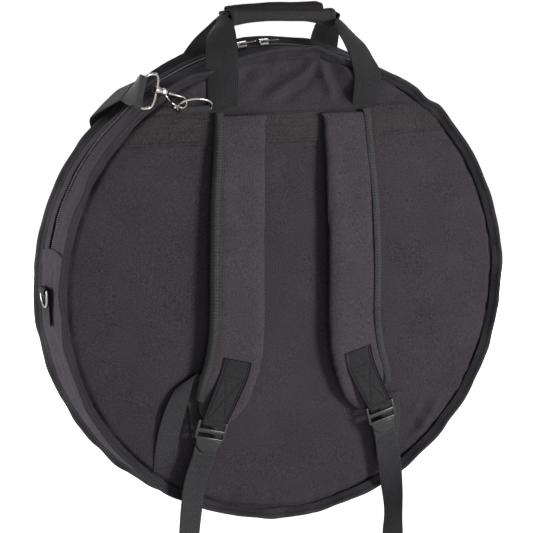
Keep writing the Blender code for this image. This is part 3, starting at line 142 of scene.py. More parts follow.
def grid_sheet(columns, rows, where, size, merge=0.0):
    """A grid bent by a function of two shares, with a UV map in metres."""
    bm = bmesh.new()
    bmesh.ops.create_grid(bm, x_segments=columns, y_segments=rows, size=0.5)
    metres = bm.loops.layers.uv.new("metres")
    for face in bm.faces:
        for loop in face.loops:
            spot = loop.vert.co
            loop[metres].uv = ((spot.x + 0.5) * size[0], (spot.y + 0.5) * size[1])
    for vert in bm.verts:
        vert.co = where(vert.co.x + 0.5, vert.co.y + 0.5)
    if merge:
        bmesh.ops.remove_doubles(bm, verts=bm.verts, dist=merge)
    return bm


def closed(bm):
    """Fill the open ends of a tube and turn its faces outwards."""
    open_edges = [edge for edge in bm.edges if edge.is_boundary]
    if open_edges:
        bmesh.ops.holes_fill(bm, edges=open_edges, sides=0)
    bmesh.ops.recalc_face_normals(bm, faces=bm.faces)
    return bm


def make_object(name, bm, material, smooth=True):
    """Move a bmesh from disc coordinates to its place and make it an object."""
    bmesh.ops.translate(bm, verts=bm.verts, vec=CENTRE)
    mesh = bpy.data.meshes.new(name)
    bm.to_mesh(mesh)
    bm.free()
    if smooth:
        mesh.shade_smooth()
    obj = bpy.data.objects.new(name, mesh)
    obj.data.materials.append(material)
    scene.collection.objects.link(obj)
    return obj


def joined(parts):
    """Several bmeshes as one."""
    whole = bmesh.new()
    for bm in parts:
        mesh = bpy.data.meshes.new("joining")
        bm.to_mesh(mesh)
        bm.free()
        whole.from_mesh(mesh)
        bpy.data.meshes.remove(mesh)
    return whole


def dress(obj, body, slot, *hidden):
    """Say what a finished piece rides on and the solids that it stands for; slot, its finish, is not used."""
    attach(obj, body)
    if hidden:
        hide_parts(*hidden)
    return obj


def thicken(obj, thickness, offset=0.0, edge=0.0):
    """Give a sheet its thickness, and soften its cut edges."""
    mod = obj.modifiers.new("thickness", "SOLIDIFY")
    mod.thickness = thickness
    mod.offset = offset
    if edge:
        soften(obj, edge)
    return obj


def soften(obj, width, segments=2):
    """Round the sharp edges of a finished piece."""
    bevel = obj.modifiers.new("edge", "BEVEL")
    bevel.width = width
    bevel.segments = segments
    bevel.limit_method = "ANGLE"
    bevel.angle_limit = math.radians(50.0)
    return obj


def inward(obj, outward=None):
    """Which way Solidify has to go so that a sheet grows away from its outer face; a sheet
    round the disc has its outer face away from the middle."""
    face = obj.data.polygons[len(obj.data.polygons) // 2]
    spot = face.center - CENTRE
    return -1.0 if face.normal.dot(outward or Vector((spot.x, 0.0, spot.z))) > 0.0 else 1.0


# %% [markdown]
# Webbing is a flat band that keeps its width. Its route is a list of rows, each with a
# centre, the direction across and a width. Given rows are few, and a smooth curve runs
# through them. A slight crown stops long bands from looking like sheet steel.
# %% Rows and ribbons


def blend_rows(before, here, after, beyond, t):
    """One Catmull-Rom row of (centre, across, width)."""
    def mix(a, b, c, d):
        return 0.5 * (2.0 * b + (c - a) * t + (2.0 * a - 5.0 * b + 4.0 * c - d) * t * t
                      + (3.0 * b - a - 3.0 * c + d) * t * t * t)
    return (mix(before[0], here[0], after[0], beyond[0]),
            mix(before[1], here[1], after[1], beyond[1]).normalized(),
            mix(before[2], here[2], after[2], beyond[2]))


def smooth_rows(rows, steps):
    """Catmull-Rom rows between given ones."""
    out = []
    last = len(rows) - 1
    for i in range(last):
        for k in range(steps):
            out.append(blend_rows(rows[max(i - 1, 0)], rows[i], rows[i + 1],
                                  rows[min(i + 2, last)], k / steps))
    out.append(rows[-1])
    return out


def row_at(rows, share):
    """The row at a share of the list, between two neighbours."""
    place = min(1.0, max(0.0, share)) * (len(rows) - 1)
    i = min(int(place), len(rows) - 2)
    t = place - i
    return (rows[i][0].lerp(rows[i + 1][0], t), rows[i][1].lerp(rows[i + 1][1], t).normalized(),
            rows[i][2] + (rows[i + 1][2] - rows[i][2]) * t)


def row_normal(rows, i):
    """Square to the webbing at a row."""
    run = rows[min(i + 1, len(rows) - 1)][0] - rows[max(i - 1, 0)][0]
    return rows[i][1].cross(run).normalized()


def rows_length(rows):
    """Length along the centres of the rows."""
    return sum((b[0] - a[0]).length for a, b in zip(rows, rows[1:]))


def ribbon_point(rows, u, v, lift=0.0):
    """A point on a webbing at shares across and along, lifted off its middle."""
    centre, across, width = row_at(rows, v)
    i = min(len(rows) - 1, max(0, round(v * (len(rows) - 1))))
    return centre + across * (u - 0.5) * width + row_normal(rows, i) * lift


WAVE_SCALE = 34.0
WEBBING_EDGE_SHARE = 0.3


def ribbon(name, rows, material, columns=8, crown=0.0, wave=0.0, place=None):
    """A webbing along its rows; a crown bows it across, a wave makes its edges uneven, and a
    place function may give the points of some rows itself."""
    last = len(rows) - 1
    normals = [row_normal(rows, i) for i in range(len(rows))]
    length = rows_length(rows)
    bow = crown if callable(crown) else (lambda share: crown)

    def where(u, v):
        i = round(v * last)
        centre, across, width = rows[i]
        side = 2.0 * u - 1.0
        given = place(i, side) if place else None
        if given is not None:
            return given
        lift = bow(v) * (1.0 - side * side)
        point = centre + across * (u - 0.5) * width
        if wave:
            lift += wander(point.x, point.y, point.z, WAVE_SCALE, wave)
        return point + normals[i] * lift

    bm = grid_sheet(columns, last, where, (rows[0][2], length))
    edge = WEBBING_THICKNESS * WEBBING_EDGE_SHARE
    return thicken(make_object(name, bm, material), WEBBING_THICKNESS, 0.0, edge)


# %% Wires, rods and boxes


def wire_mesh(points, radius, loop=False, sides=4):
    """A round wire through points, as a welded bmesh."""
    curve = bpy.data.curves.new("wire", "CURVE")
    curve.dimensions = "3D"
    curve.bevel_depth = radius
    curve.bevel_resolution = sides
    curve.use_fill_caps = True
    spline = curve.splines.new("POLY")
    spline.points.add(len(points) - 1)
    for item, point in zip(spline.points, points):
        item.co = point.to_4d()
    spline.use_cyclic_u = loop
    helper = bpy.data.objects.new("wire", curve)
    scene.collection.objects.link(helper)
    bpy.context.view_layer.update()
    seen = helper.evaluated_get(bpy.context.evaluated_depsgraph_get())
    mesh = bpy.data.meshes.new_from_object(seen)
    bpy.data.objects.remove(helper, do_unlink=True)
    bm = bmesh.new()
    bm.from_mesh(mesh)
    bpy.data.meshes.remove(mesh)
    bmesh.ops.remove_doubles(bm, verts=bm.verts, dist=radius / 50.0)
    bmesh.ops.recalc_face_normals(bm, faces=bm.faces)
    return bm


def bevel_all(bm, width, segments):
    """Round the edges that are sharper than 30 degrees."""
    sharp = [edge for edge in bm.edges if edge.calc_face_angle(0.0) > math.radians(30.0)]
    bmesh.ops.bevel(bm, geom=sharp, offset=width, segments=segments, profile=0.5,
                    affect="EDGES", material=-1)
    return bm


def rod_mesh(start, end, radius1, radius2=None, segments=24, corner=0.0):
    """A straight rod or cone between two points."""
    line = end - start
    turn = line.to_track_quat("Z", "Y").to_matrix().to_4x4()
    bm = bmesh.new()
    bmesh.ops.create_cone(bm, cap_ends=True, segments=segments, radius1=radius1,
                          radius2=radius1 if radius2 is None else radius2, depth=line.length,
                          matrix=Matrix.Translation((start + end) / 2.0) @ turn)
    return bevel_all(bm, corner, 2) if corner else bm


def box_mesh(size, matrix, corner, segments=3):
    """A box with rounded edges."""
    bm = bmesh.new()
    bmesh.ops.create_cube(bm, size=1.0)
    bmesh.ops.scale(bm, verts=bm.verts, vec=size)
    bevel_all(bm, corner, segments)
    bmesh.ops.transform(bm, matrix=matrix, verts=bm.verts)
    return bm


# %% [markdown]
# Thread is what tells the eye that cloth is sewn. Each stitch is a small grain of thread with
# twenty faces, laid end to end along a run of points, so thousands of them stay light.
# %% Stitches

STITCH_PITCH = 0.0034
STITCH_LENGTH = 0.0026
STITCH_RADIUS = 0.00034
THREAD_LIFT = 0.0002
SHORTEST_STEP = 1e-6


def seed_mesh(bm):
    """A small mesh to lay many times."""
    mesh = bpy.data.meshes.new("seed")
    bm.to_mesh(mesh)
    bm.free()
    return mesh


def lay(bm, seed, matrix):
    """Add one copy of a small mesh at a place."""
    seed.transform(matrix)
    bm.from_mesh(seed)
    seed.transform(matrix.inverted())


grain = bmesh.new()
bmesh.ops.create_icosphere(grain, subdivisions=1, radius=1.0)
THREAD_GRAIN = seed_mesh(grain)


def stitch_piece(name, runs, body):
    """Lay thread grains along runs of points, each run a list in disc coordinates."""
    bm = bmesh.new()
    size = Matrix.Diagonal((STITCH_RADIUS, STITCH_RADIUS, STITCH_LENGTH / 2.0, 1.0))
    for run in runs:
        carried = 0.0
        for start, end in zip(run, run[1:]):
            line = end - start
            if line.length < SHORTEST_STEP:
                continue
            turn = line.to_track_quat("Z", "Y").to_matrix().to_4x4()
            place = STITCH_PITCH - carried
            while place <= line.length:
                spot = start + line * (place / line.length)
                lay(bm, THREAD_GRAIN, Matrix.Translation(spot) @ turn @ size)
                place += STITCH_PITCH
            carried = line.length - (place - STITCH_PITCH)
    return dress(make_object(name, bm, THREAD), body, "webbing")


def straight_run(place, start, end, steps=10):
    """Points of a place function on a straight run between two flat places."""
    out = []
    for k in range(steps + 1):
        t = k / steps
        out.append(place(start[0] + (end[0] - start[0]) * t, start[1] + (end[1] - start[1]) * t))
    return out


def box_lines(low, high, start, end):
    """The six lines of a sewn box with a cross in it, as pairs of flat places."""
    corners = ((low, start), (high, start), (high, end), (low, end))
    return [(corners[a], corners[b]) for a, b in ((0, 1), (1, 2), (2, 3), (3, 0), (0, 2), (1, 3))]


def box_cross(rows, start, end, inset, lift):
    """A sewn box with a cross in it, on a stretch of webbing."""
    def place(u, v):
        return ribbon_point(rows, u, v, lift)

    return [straight_run(place, *line) for line in box_lines(inset, 1.0 - inset, start, end)]


# %% [markdown]
# All the cloth here is plain weave. Two sine waves, one across and one along the UV map, make
# the over and under of the threads when they are multiplied. Slow noise adds the uneven dye
# and handling marks, and fast noise adds fibres, so no stretch of cloth is one flat colour.
# %% Node helpers


def start_material(name):
    """A new material with its shader."""
    material = bpy.data.materials.new(name)
    material.use_nodes = True
    return material, material.node_tree, material.node_tree.nodes["Principled BSDF"]


def calc(tree, operation, first, second=0.0, third=0.0):
    """A maths node on sockets or numbers."""
    node = tree.nodes.new("ShaderNodeMath")
    node.operation = operation
    for socket, value in zip(node.inputs, (first, second, third)):
        if isinstance(value, bpy.types.NodeSocket):
            tree.links.new(value, socket)
        else:
            socket.default_value = value
    return node.outputs[0]


def noise_value(tree, scale, detail=2.0, stretch=None):
    """Noise from the object's own coordinates, centred on zero."""
    where = tree.nodes.new("ShaderNodeTexCoord").outputs["Object"]
    if stretch is not None:
        mapping = tree.nodes.new("ShaderNodeMapping")
        mapping.inputs["Scale"].default_value = stretch
        tree.links.new(where, mapping.inputs["Vector"])
        where = mapping.outputs["Vector"]
    node = tree.nodes.new("ShaderNodeTexNoise")
    node.inputs["Scale"].default_value = scale
    node.inputs["Detail"].default_value = detail
    tree.links.new(where, node.inputs["Vector"])
    return calc(tree, "SUBTRACT", node.outputs["Fac"], 0.5)


def uv_waves(tree, across_pitch, along_pitch):
    """Sine waves across and along the UV map, which is in metres."""
    uv = tree.nodes.new("ShaderNodeUVMap")
    uv.uv_map = "metres"
    split = tree.nodes.new("ShaderNodeSeparateXYZ")
    tree.links.new(uv.outputs["UV"], split.inputs["Vector"])
    waves = []
    for socket, pitch in ((split.outputs["X"], across_pitch), (split.outputs["Y"], along_pitch)):
        waves.append(calc(tree, "SINE", calc(tree, "MULTIPLY", socket, math.pi / pitch)))
    return waves


def mix_colour(tree, shader, share, dark, light):
    """Base colour between two shades by a share."""
    mix = tree.nodes.new("ShaderNodeMix")
    mix.data_type = "RGBA"
    colours = [socket for socket in mix.inputs if socket.type == "RGBA"]
    colours[0].default_value = (*dark, 1.0)
    colours[1].default_value = (*light, 1.0)
    tree.links.new(share, mix.inputs[0])
    out = next(item for item in mix.outputs if item.type == "RGBA")
    tree.links.new(out, shader.inputs["Base Color"])


def add_bump(tree, shader, height, strength, distance):
    """Small relief from a height."""
    node = tree.nodes.new("ShaderNodeBump")
    node.inputs["Strength"].default_value = strength
    node.inputs["Distance"].default_value = distance
    tree.links.new(height, node.inputs["Height"])
    tree.links.new(node.outputs["Normal"], shader.inputs["Normal"])


MOTTLE_SCALE = 18.0
SLUB_SCALE = 760.0
SLUB_STRETCH = (1.0, 1.0, 0.7)
SLUB_SHARE = 1.5
FIBRE_SCALE = 1500.0
FIBRE_SHARE = 1.6
FIBRE_HEIGHT_SHARE = 0.6
GLOSS_SPREAD = 0.25
THREAD_DEPTH = 0.0003


def finish_cloth(tree, shader, height, colour, spread, roughness, bump, contrast, mottle):
    """Colour, roughness and bump of a cloth from its thread height."""
    slow = noise_value(tree, MOTTLE_SCALE, 2.0)
    slubs = noise_value(tree, SLUB_SCALE, 2.0, SLUB_STRETCH)
    fast = noise_value(tree, FIBRE_SCALE, 1.0)
    share = calc(tree, "MULTIPLY_ADD", height, contrast, 0.5)
    for source, weight in ((slow, mottle), (slubs, SLUB_SHARE), (fast, contrast * FIBRE_SHARE)):
        share = calc(tree, "MULTIPLY_ADD", source, weight, share)
    mix_colour(tree, shader, share, [c * (1.0 - spread) for c in colour],
               [c * (1.0 + spread) for c in colour])
    uneven = calc(tree, "MULTIPLY_ADD", slow, GLOSS_SPREAD, roughness)
    tree.links.new(uneven, shader.inputs["Roughness"])
    relieved = calc(tree, "MULTIPLY_ADD", fast, FIBRE_HEIGHT_SHARE, height)
    add_bump(tree, shader, relieved, bump, THREAD_DEPTH)


def set_lustre(shader, sheen, sheen_roughness, specular):
    """The faint shine of fibres seen at a slant, and how much the cloth mirrors."""
    shader.inputs["Sheen Weight"].default_value = sheen
    shader.inputs["Sheen Roughness"].default_value = sheen_roughness
    shader.inputs["Specular IOR Level"].default_value = specular


# %% Cloth, webbing and tape

STREAK_SCALE = 520.0
STREAK_STRETCHES = ((1.0, 1.0, 0.06), (0.05, 1.0, 1.0))


def cloth(name, colour, pitch=0.0009, bump=0.5, sheen=0.03, spread=0.55, mottle=0.4, streaks=0.0):
    """Plain woven polyester; streaks are the thick and thin threads of a coarse weave."""
    material, tree, shader = start_material(name)
    across, along = uv_waves(tree, pitch, pitch)
    weave = calc(tree, "MULTIPLY", across, along)
    for stretch in STREAK_STRETCHES if streaks else ():
        streak = noise_value(tree, STREAK_SCALE, 1.0, stretch)
        weave = calc(tree, "MULTIPLY_ADD", streak, streaks, weave)
    finish_cloth(tree, shader, weave, colour, spread, roughness=0.80, bump=bump, contrast=0.30,
                 mottle=mottle)
    set_lustre(shader, sheen, sheen_roughness=0.40, specular=0.04)
    return material


def webbing(name, colour, rib=0.0013, column=0.0021):
    """Heavy webbing: short ribs across it, stepped from column to column."""
    material, tree, shader = start_material(name)
    across, along = uv_waves(tree, column, rib)
    ribs = calc(tree, "ABSOLUTE", calc(tree, "MULTIPLY", across, along))
    height = calc(tree, "MULTIPLY_ADD", ribs, 1.6, -0.8)
    finish_cloth(tree, shader, height, colour, spread=0.45, roughness=0.62, bump=0.8,
                 contrast=0.35, mottle=0.35)
    set_lustre(shader, sheen=0.03, sheen_roughness=0.35, specular=0.07)
    return material


def grosgrain(name, colour, rib=0.0009, column=0.0016):
    """Binding tape: fine ribs straight across it, with pale flecks of thread."""
    material, tree, shader = start_material(name)
    across, along = uv_waves(tree, column, rib)
    height = calc(tree, "MULTIPLY_ADD", across, 0.30, calc(tree, "MULTIPLY", along, 0.55))
    finish_cloth(tree, shader, height, colour, spread=0.55, roughness=0.62, bump=0.5,
                 contrast=0.22, mottle=0.6)
    set_lustre(shader, sheen=0.04, sheen_roughness=0.35, specular=0.10)
    return material


# %% Metal and plastic

FINE_DEPTH = 0.0001


def metal(name, colour, roughness, darkest=0.82, wear_scale=220.0, tint_scale=60.0):
    """Plated wire: bright, with faint wear in its gloss."""
    material, tree, shader = start_material(name)
    shader.inputs["Metallic"].default_value = 1.0
    wear = noise_value(tree, wear_scale, 3.0)
    tint = noise_value(tree, tint_scale, 2.0)
    mix_colour(tree, shader, calc(tree, "MULTIPLY_ADD", tint, 1.4, 0.6),
               [c * darkest for c in colour], colour)
    tree.links.new(calc(tree, "MULTIPLY_ADD", wear, 0.22, roughness), shader.inputs["Roughness"])
    add_bump(tree, shader, wear, 0.12, FINE_DEPTH)
    return material


def plastic(name, colour, roughness, darkest=0.7, lightest=1.4, grain_scale=900.0, scuff_scale=90.0):
    """Moulded plastic with a fine even grain and scuffs in its gloss."""
    material, tree, shader = start_material(name)
    grain = noise_value(tree, grain_scale, 2.0)
    scuff = noise_value(tree, scuff_scale, 4.0, (1.0, 1.0, 3.0))
    mix_colour(tree, shader, calc(tree, "MULTIPLY_ADD", scuff, 1.6, 0.5),
               [c * darkest for c in colour], [c * lightest for c in colour])
    tree.links.new(calc(tree, "MULTIPLY_ADD", scuff, 0.35, roughness), shader.inputs["Roughness"])
    shader.inputs["Specular IOR Level"].default_value = 0.45
    add_bump(tree, shader, grain, 0.10, FINE_DEPTH)
    return material


# %% Finishes

PANEL_CLOTH = cloth("panel_cloth", (0.048, 0.043, 0.048))
GUSSET_CLOTH = cloth("gusset_cloth", (0.060, 0.054, 0.063))
PAD_CLOTH = cloth("pad_cloth", (0.062, 0.055, 0.062), pitch=0.0010)
GRIP_CLOTH = cloth("grip_cloth", (0.044, 0.041, 0.044))
FLAP_CLOTH = cloth("flap_cloth", (0.026, 0.025, 0.026))
BAND_CLOTH = cloth("band_cloth", (0.049, 0.045, 0.048), pitch=0.0010, bump=0.8, spread=0.6,
                   streaks=0.9)
LINING_CLOTH = cloth("lining_cloth", (0.10, 0.10, 0.11), pitch=0.0006, bump=0.3)
FOAM_SKIN = cloth("foam_skin", (0.15, 0.15, 0.16), pitch=0.0020, bump=0.2)
BLACK_WEBBING = webbing("black_webbing", (0.032, 0.031, 0.033))
# The strap webbing is lighter than the black webbing: partly its own tone, partly painted light for the light
# that falls on the strap and tails.
STRAP_WEBBING_WITH_PAINTED_LIGHT = webbing("strap_webbing", (0.050, 0.048, 0.051), rib=0.0011)
BINDING_TAPE = grosgrain("binding_tape", (0.034, 0.032, 0.035))
PAD_TAPE = grosgrain("pad_tape", (0.046, 0.045, 0.046), rib=0.0014)
ZIP_TAPE = cloth("zip_tape", (0.022, 0.021, 0.023), pitch=0.0007, bump=0.5)
COIL_PLASTIC = plastic("coil_plastic", (0.13, 0.125, 0.135), 0.34)
BUCKLE_PLASTIC = plastic("buckle_plastic", (0.010, 0.010, 0.011), 0.30)
# The nickel's colour is darker than bright plate: painted shade standing in for the dark surroundings that its
# reflections would show.
NICKEL = metal("nickel_plate", (0.33, 0.31, 0.29), 0.20)
DARK_NICKEL = metal("dark_nickel_plate", (0.13, 0.12, 0.115), 0.24)
THREAD = cloth("sewing_thread", (0.016, 0.015, 0.016), pitch=0.0004, bump=0.2)
print(len(bpy.data.materials), "materials")

# %% [markdown]
# The camera comes before the shapes, so that each piece can be judged from the photograph's
# viewpoint. It looks from the left and from a little above, far enough off to keep the disc
# nearly round. The floor and the world look white to the camera and to bright metal, while
# the lamps alone light the cloth, so the black stays black.
# %% Camera

CAMERA_DISTANCE = 2.0
CAMERA_YAW = 22.22
CAMERA_ELEVATION = 10.60
FOCAL_PIXELS = 1565.3
PICTURE_PIXELS = 533.0
CENTRE_PIXEL = (280.02, 282.50)
SENSOR = 36.0

yaw = math.radians(-CAMERA_YAW)
rise = math.radians(CAMERA_ELEVATION)
camera_way = Vector((math.sin(yaw) * math.cos(rise), -math.cos(yaw) * math.cos(rise), math.sin(rise)))
camera = bpy.data.objects.new("camera", bpy.data.cameras.new("camera"))
scene.collection.objects.link(camera)
camera.data.sensor_width = SENSOR
camera.data.lens = SENSOR * FOCAL_PIXELS / PICTURE_PIXELS
camera.data.shift_x = (PICTURE_PIXELS / 2.0 - CENTRE_PIXEL[0]) / PICTURE_PIXELS
camera.data.shift_y = (CENTRE_PIXEL[1] - PICTURE_PIXELS / 2.0) / PICTURE_PIXELS
camera.data.clip_end = 50.0
camera.location = CENTRE + camera_way * CAMERA_DISTANCE
camera.rotation_mode = "QUATERNION"
camera.rotation_quaternion = camera_way.to_track_quat("Z", "Y")
scene.camera = camera
scene.view_settings.view_transform = "Standard"

# %% Floor, backdrop and lamps

FLOOR_HEIGHT = cad_low.z - 0.04
FLOOR_GLOW = 0.62
FLOOR_FADE = (0.9, 2.2)


def seen_share(tree):
    """1 for camera, glossy and transmission rays, otherwise 0."""
    path = tree.nodes.new("ShaderNodeLightPath")
    seen = calc(tree, "MAXIMUM", path.outputs["Is Camera Ray"], path.outputs["Is Glossy Ray"])
    return calc(tree, "MAXIMUM", seen, path.outputs["Is Transmission Ray"])


world = bpy.data.worlds.new("studio")
scene.world = world
world.use_nodes = True
tree = world.node_tree
backdrop = tree.nodes["Background"]
backdrop.inputs["Color"].default_value = (0.96, 0.97, 1.0, 1.0)
backdrop.inputs["Strength"].default_value = 0.05
white = tree.nodes.new("ShaderNodeBackground")
white.inputs["Color"].default_value = (1.0, 1.0, 1.0, 1.0)
mixed = tree.nodes.new("ShaderNodeMixShader")
tree.links.new(seen_share(tree), mixed.inputs[0])
tree.links.new(backdrop.outputs[0], mixed.inputs[1])
tree.links.new(white.outputs[0], mixed.inputs[2])
tree.links.new(mixed.outputs[0], tree.nodes["World Output"].inputs["Surface"])

floor_bm = bmesh.new()
bmesh.ops.create_grid(floor_bm, x_segments=1, y_segments=1, size=30.0)
bmesh.ops.translate(floor_bm, verts=floor_bm.verts, vec=(0.0, 0.0, FLOOR_HEIGHT - CENTRE.z))
paper, tree, shader = start_material("floor_paper")
shader.inputs["Base Color"].default_value = (0.80, 0.80, 0.80, 1.0)
shader.inputs["Roughness"].default_value = 0.9
shader.inputs["Emission Color"].default_value = (1.0, 1.0, 1.0, 1.0)
spot = tree.nodes.new("ShaderNodeTexCoord").outputs["Object"]
reach = tree.nodes.new("ShaderNodeVectorMath")
reach.operation = "LENGTH"
tree.links.new(spot, reach.inputs[0])
fade = tree.nodes.new("ShaderNodeMapRange")
fade.inputs["From Min"].default_value = FLOOR_FADE[0]
fade.inputs["From Max"].default_value = FLOOR_FADE[1]
fade.inputs["To Min"].default_value = FLOOR_GLOW
fade.inputs["To Max"].default_value = 1.0
tree.links.new(reach.outputs["Value"], fade.inputs["Value"])
glow = calc(tree, "MULTIPLY", fade.outputs["Result"], seen_share(tree))
tree.links.new(glow, shader.inputs["Emission Strength"])
floor = make_object("floor", floor_bm, paper, smooth=False)


def soft_lamp(name, place, size, power):
    """A square soft box that points at the bag's middle."""
    data = bpy.data.lights.new(name, "AREA")
    data.size = size
    data.energy = power
    lamp = bpy.data.objects.new(name, data)
    lamp.location = CENTRE + Vector(place)
    lamp.rotation_mode = "QUATERNION"
    lamp.rotation_quaternion = Vector(place).to_track_quat("Z", "Y")
    scene.collection.objects.link(lamp)


soft_lamp("key_lamp", (1.45, -2.1, 0.35), 0.7, 55.0)
soft_lamp("fill_lamp", (-0.5, -2.7, -0.1), 1.2, 8.0)
soft_lamp("side_lamp", (-2.4, 0.5, 0.20), 1.0, 50.0)
soft_lamp("back_lamp", (0.8, 2.4, 0.3), 1.4, 66.0)

# %% [markdown]
# The strap side of the bag is one sewn disc. Its relief, how far the cloth stands forward of
# the flat, is one function that every piece sewn to it uses again. The padding crowns it, the
# seam at the rim pulls a groove into it, and above the band the handle gathers the cloth into
# folds that run down from one pinched point of the rim.
# %% Relief of the strap side

BAND_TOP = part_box("top_reinforcement_band")[1].z - CENTRE.z
BAND_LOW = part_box("top_reinforcement_band")[0].z - CENTRE.z
CROWN = 0.0024
CROWN_POWER = 6
GROOVE = 0.0056
GROOVE_SHARE = 0.987
GROOVE_WIDTH_SHARE = 0.0095
SUNK_TOP = 0.0030
INNER_SUNK = 0.006
FOLD_TAPER = 0.30
# Waves of the cloth, its seam's scallops and puckers: seed, scale and height of each.
PANEL_WAVES = ((0.0, 9.0, 0.0014), (1.0, 30.0, 0.0005))
SCALLOPS = ((6.5, 9.0, 0.55), (7.5, 24.0, 0.35))
PUCKERS = ((6.0, 22.0, 0.0018),)
RIM_WAVES = ((2.0, 5.0, 0.0014), (4.0, 14.0, 0.0008))
FAR_RIM_WAVES = ((12.0, 4.0, 0.0012), (14.0, 12.0, 0.0008))

# Folds as runs of (x, z) on the disc, then width and height; a minus height is a hollow.
FOLDS = (
    (((0.030, 0.292), (0.027, 0.276), (0.012, 0.262), (-0.012, 0.250), (-0.032, 0.239), (-0.038, 0.226)),
     0.0075, 0.0075),
    (((0.034, 0.290), (0.036, 0.272), (0.020, 0.254), (-0.002, 0.242), (-0.020, 0.230)), 0.0080, -0.0050),
    (((0.034, 0.296), (0.042, 0.270), (0.052, 0.248), (0.058, 0.230)), 0.0065, 0.0085),
    (((0.044, 0.290), (0.056, 0.266), (0.068, 0.244), (0.080, 0.226)), 0.0095, -0.0075),
    (((0.042, 0.296), (0.064, 0.282), (0.082, 0.262), (0.092, 0.240)), 0.0060, 0.0050),
    (((-0.088, 0.226), (-0.060, 0.240), (-0.045, 0.262), (-0.030, 0.275)), 0.0120, 0.0034),
    (((-0.070, 0.262), (-0.050, 0.272), (-0.020, 0.280)), 0.0085, -0.0036),
    (((0.171, -0.170), (0.186, -0.188), (0.192, -0.206)), 0.0070, 0.0040),
    (((0.213, -0.160), (0.200, -0.182), (0.182, -0.204), (0.160, -0.222)), 0.0060, 0.0050),
    (((0.196, -0.160), (0.186, -0.176), (0.170, -0.196)), 0.0060, -0.0022),
    (((-0.020, 0.180), (-0.030, 0.140), (-0.026, 0.090)), 0.0120, 0.0016),
    (((0.030, 0.184), (0.024, 0.150), (0.040, 0.110)), 0.0140, -0.0016),
    (((0.150, 0.176), (0.146, 0.120), (0.152, 0.050)), 0.0200, 0.0016),
    (((-0.150, 0.170), (-0.160, 0.090), (-0.150, 0.000)), 0.0240, 0.0016),
)


def line_gap(spot, start, end):
    """How far a flat place lies from the line between two others, and at which share of it."""
    dx = end[0] - start[0]
    dy = end[1] - start[1]
    t = ((spot[0] - start[0]) * dx + (spot[1] - start[1]) * dy) / (dx * dx + dy * dy)
    t = min(1.0, max(0.0, t))
    return math.hypot(spot[0] - start[0] - t * dx, spot[1] - start[1] - t * dy), t


def fold_height(x, z, run, width, size):
    """Height of one fold at a place; it fades towards both ends of its run."""
    best = math.inf
    place = 0.0
    last = len(run) - 1
    for i, (start, end) in enumerate(zip(run, run[1:])):
        gap, t = line_gap((x, z), start, end)
        if gap < best:
            best = gap
            place = (i + t) / last
    if best > 3.0 * width:
        return 0.0
    fade = smooth_step(-0.05, FOLD_TAPER, place) * (1.0 - smooth_step(1.0 - FOLD_TAPER, 1.0, place))
    return size * fade * hill(best, width)


# Where the rim of the strap side leaves its circle: degrees and metres outwards.
RIM_PLACES = ((0.0, 0.0), (40.0, 0.0), (47.0, 0.0015), (51.0, -0.0025), (56.0, 0.0), (68.0, -0.004),
              (76.0, -0.0075), (80.0, -0.002), (84.3, 0.003), (88.0, 0.000), (94.0, -0.0015),
              (103.0, -0.0042), (111.0, -0.0060), (117.0, -0.001), (123.0, 0.002), (132.0, 0.0),
              (180.0, 0.0), (360.0, 0.0))


def rim_shift(degrees):
    """How far the rim stands outside its circle at an angle, with a slow waviness."""
    degrees = degrees % 360.0
    value = 0.0
    for (a, low), (b, high) in zip(RIM_PLACES, RIM_PLACES[1:]):
        if a <= degrees <= b:
            value = low + (high - low) * smooth_step(a, b, degrees)
    spot = polar(1.0, degrees, 0.0)
    return value + ripples(spot.x, spot.z, RIM_WAVES)


STRAP_CROSSING = 132.6
STRAP_CROSSING_SPAN = 7.0
STRAP_PRESS = 0.0045


def far_shift(degrees):
    """The same for the pocket side's rim, which the shoulder strap presses in where it crosses."""
    spot = polar(1.0, degrees, 0.0)
    pressed = STRAP_PRESS * hill(degrees % 360.0 - STRAP_CROSSING, STRAP_CROSSING_SPAN)
    return ripples(spot.x, spot.z, FAR_RIM_WAVES) - pressed


def soft_relief(x, z):
    """The padded crown alone, which the foam and lining follow."""
    share = math.hypot(x, z) / PANEL_RADIUS
    sunk = smooth_step(BAND_TOP - 0.03, BAND_TOP, z) * (SUNK_TOP + INNER_SUNK)
    drawn_in = INNER_SUNK * smooth_step(0.74, 0.90, share)
    return CROWN * (1.0 - share ** CROWN_POWER) + ripples(x, z, PANEL_WAVES[:1]) - sunk - drawn_in


def relief(x, z):
    """How far the strap side's cloth stands in front of its flat."""
    share = math.hypot(x, z) / PANEL_RADIUS
    height = CROWN * (1.0 - share ** CROWN_POWER) + ripples(x, z, PANEL_WAVES)
    spot = Vector((x, 0.0, z)).normalized() if share > 0.5 else RIGHT
    scallop = 1.0 + ripples(spot.x, spot.z, SCALLOPS)
    height -= GROOVE * scallop * hill(share - GROOVE_SHARE, GROOVE_WIDTH_SHARE)
    pucker = smooth_step(0.86, 0.97, share) * (1.0 - smooth_step(0.985, 1.0, share))
    height += pucker * ripples(spot.x, spot.z, PUCKERS)
    sunk = smooth_step(BAND_TOP, BAND_TOP + 0.012, z) * (1.0 - smooth_step(0.90, 0.99, share))
    height -= SUNK_TOP * sunk
    return height + sum(fold_height(x, z, *fold) for fold in FOLDS)


def disc_place(u, v, radius, shift=None):
    """Spread a square's shares evenly over a disc, following a wavy rim."""
    a = 2.0 * u - 1.0
    b = 2.0 * v - 1.0
    x = a * math.sqrt(1.0 - b * b / 2.0)
    z = b * math.sqrt(1.0 - a * a / 2.0)
    size = radius
    if shift:
        share = math.hypot(x, z)
        size += shift(math.degrees(math.atan2(z, x))) * share ** 8
    return x * size, z * size


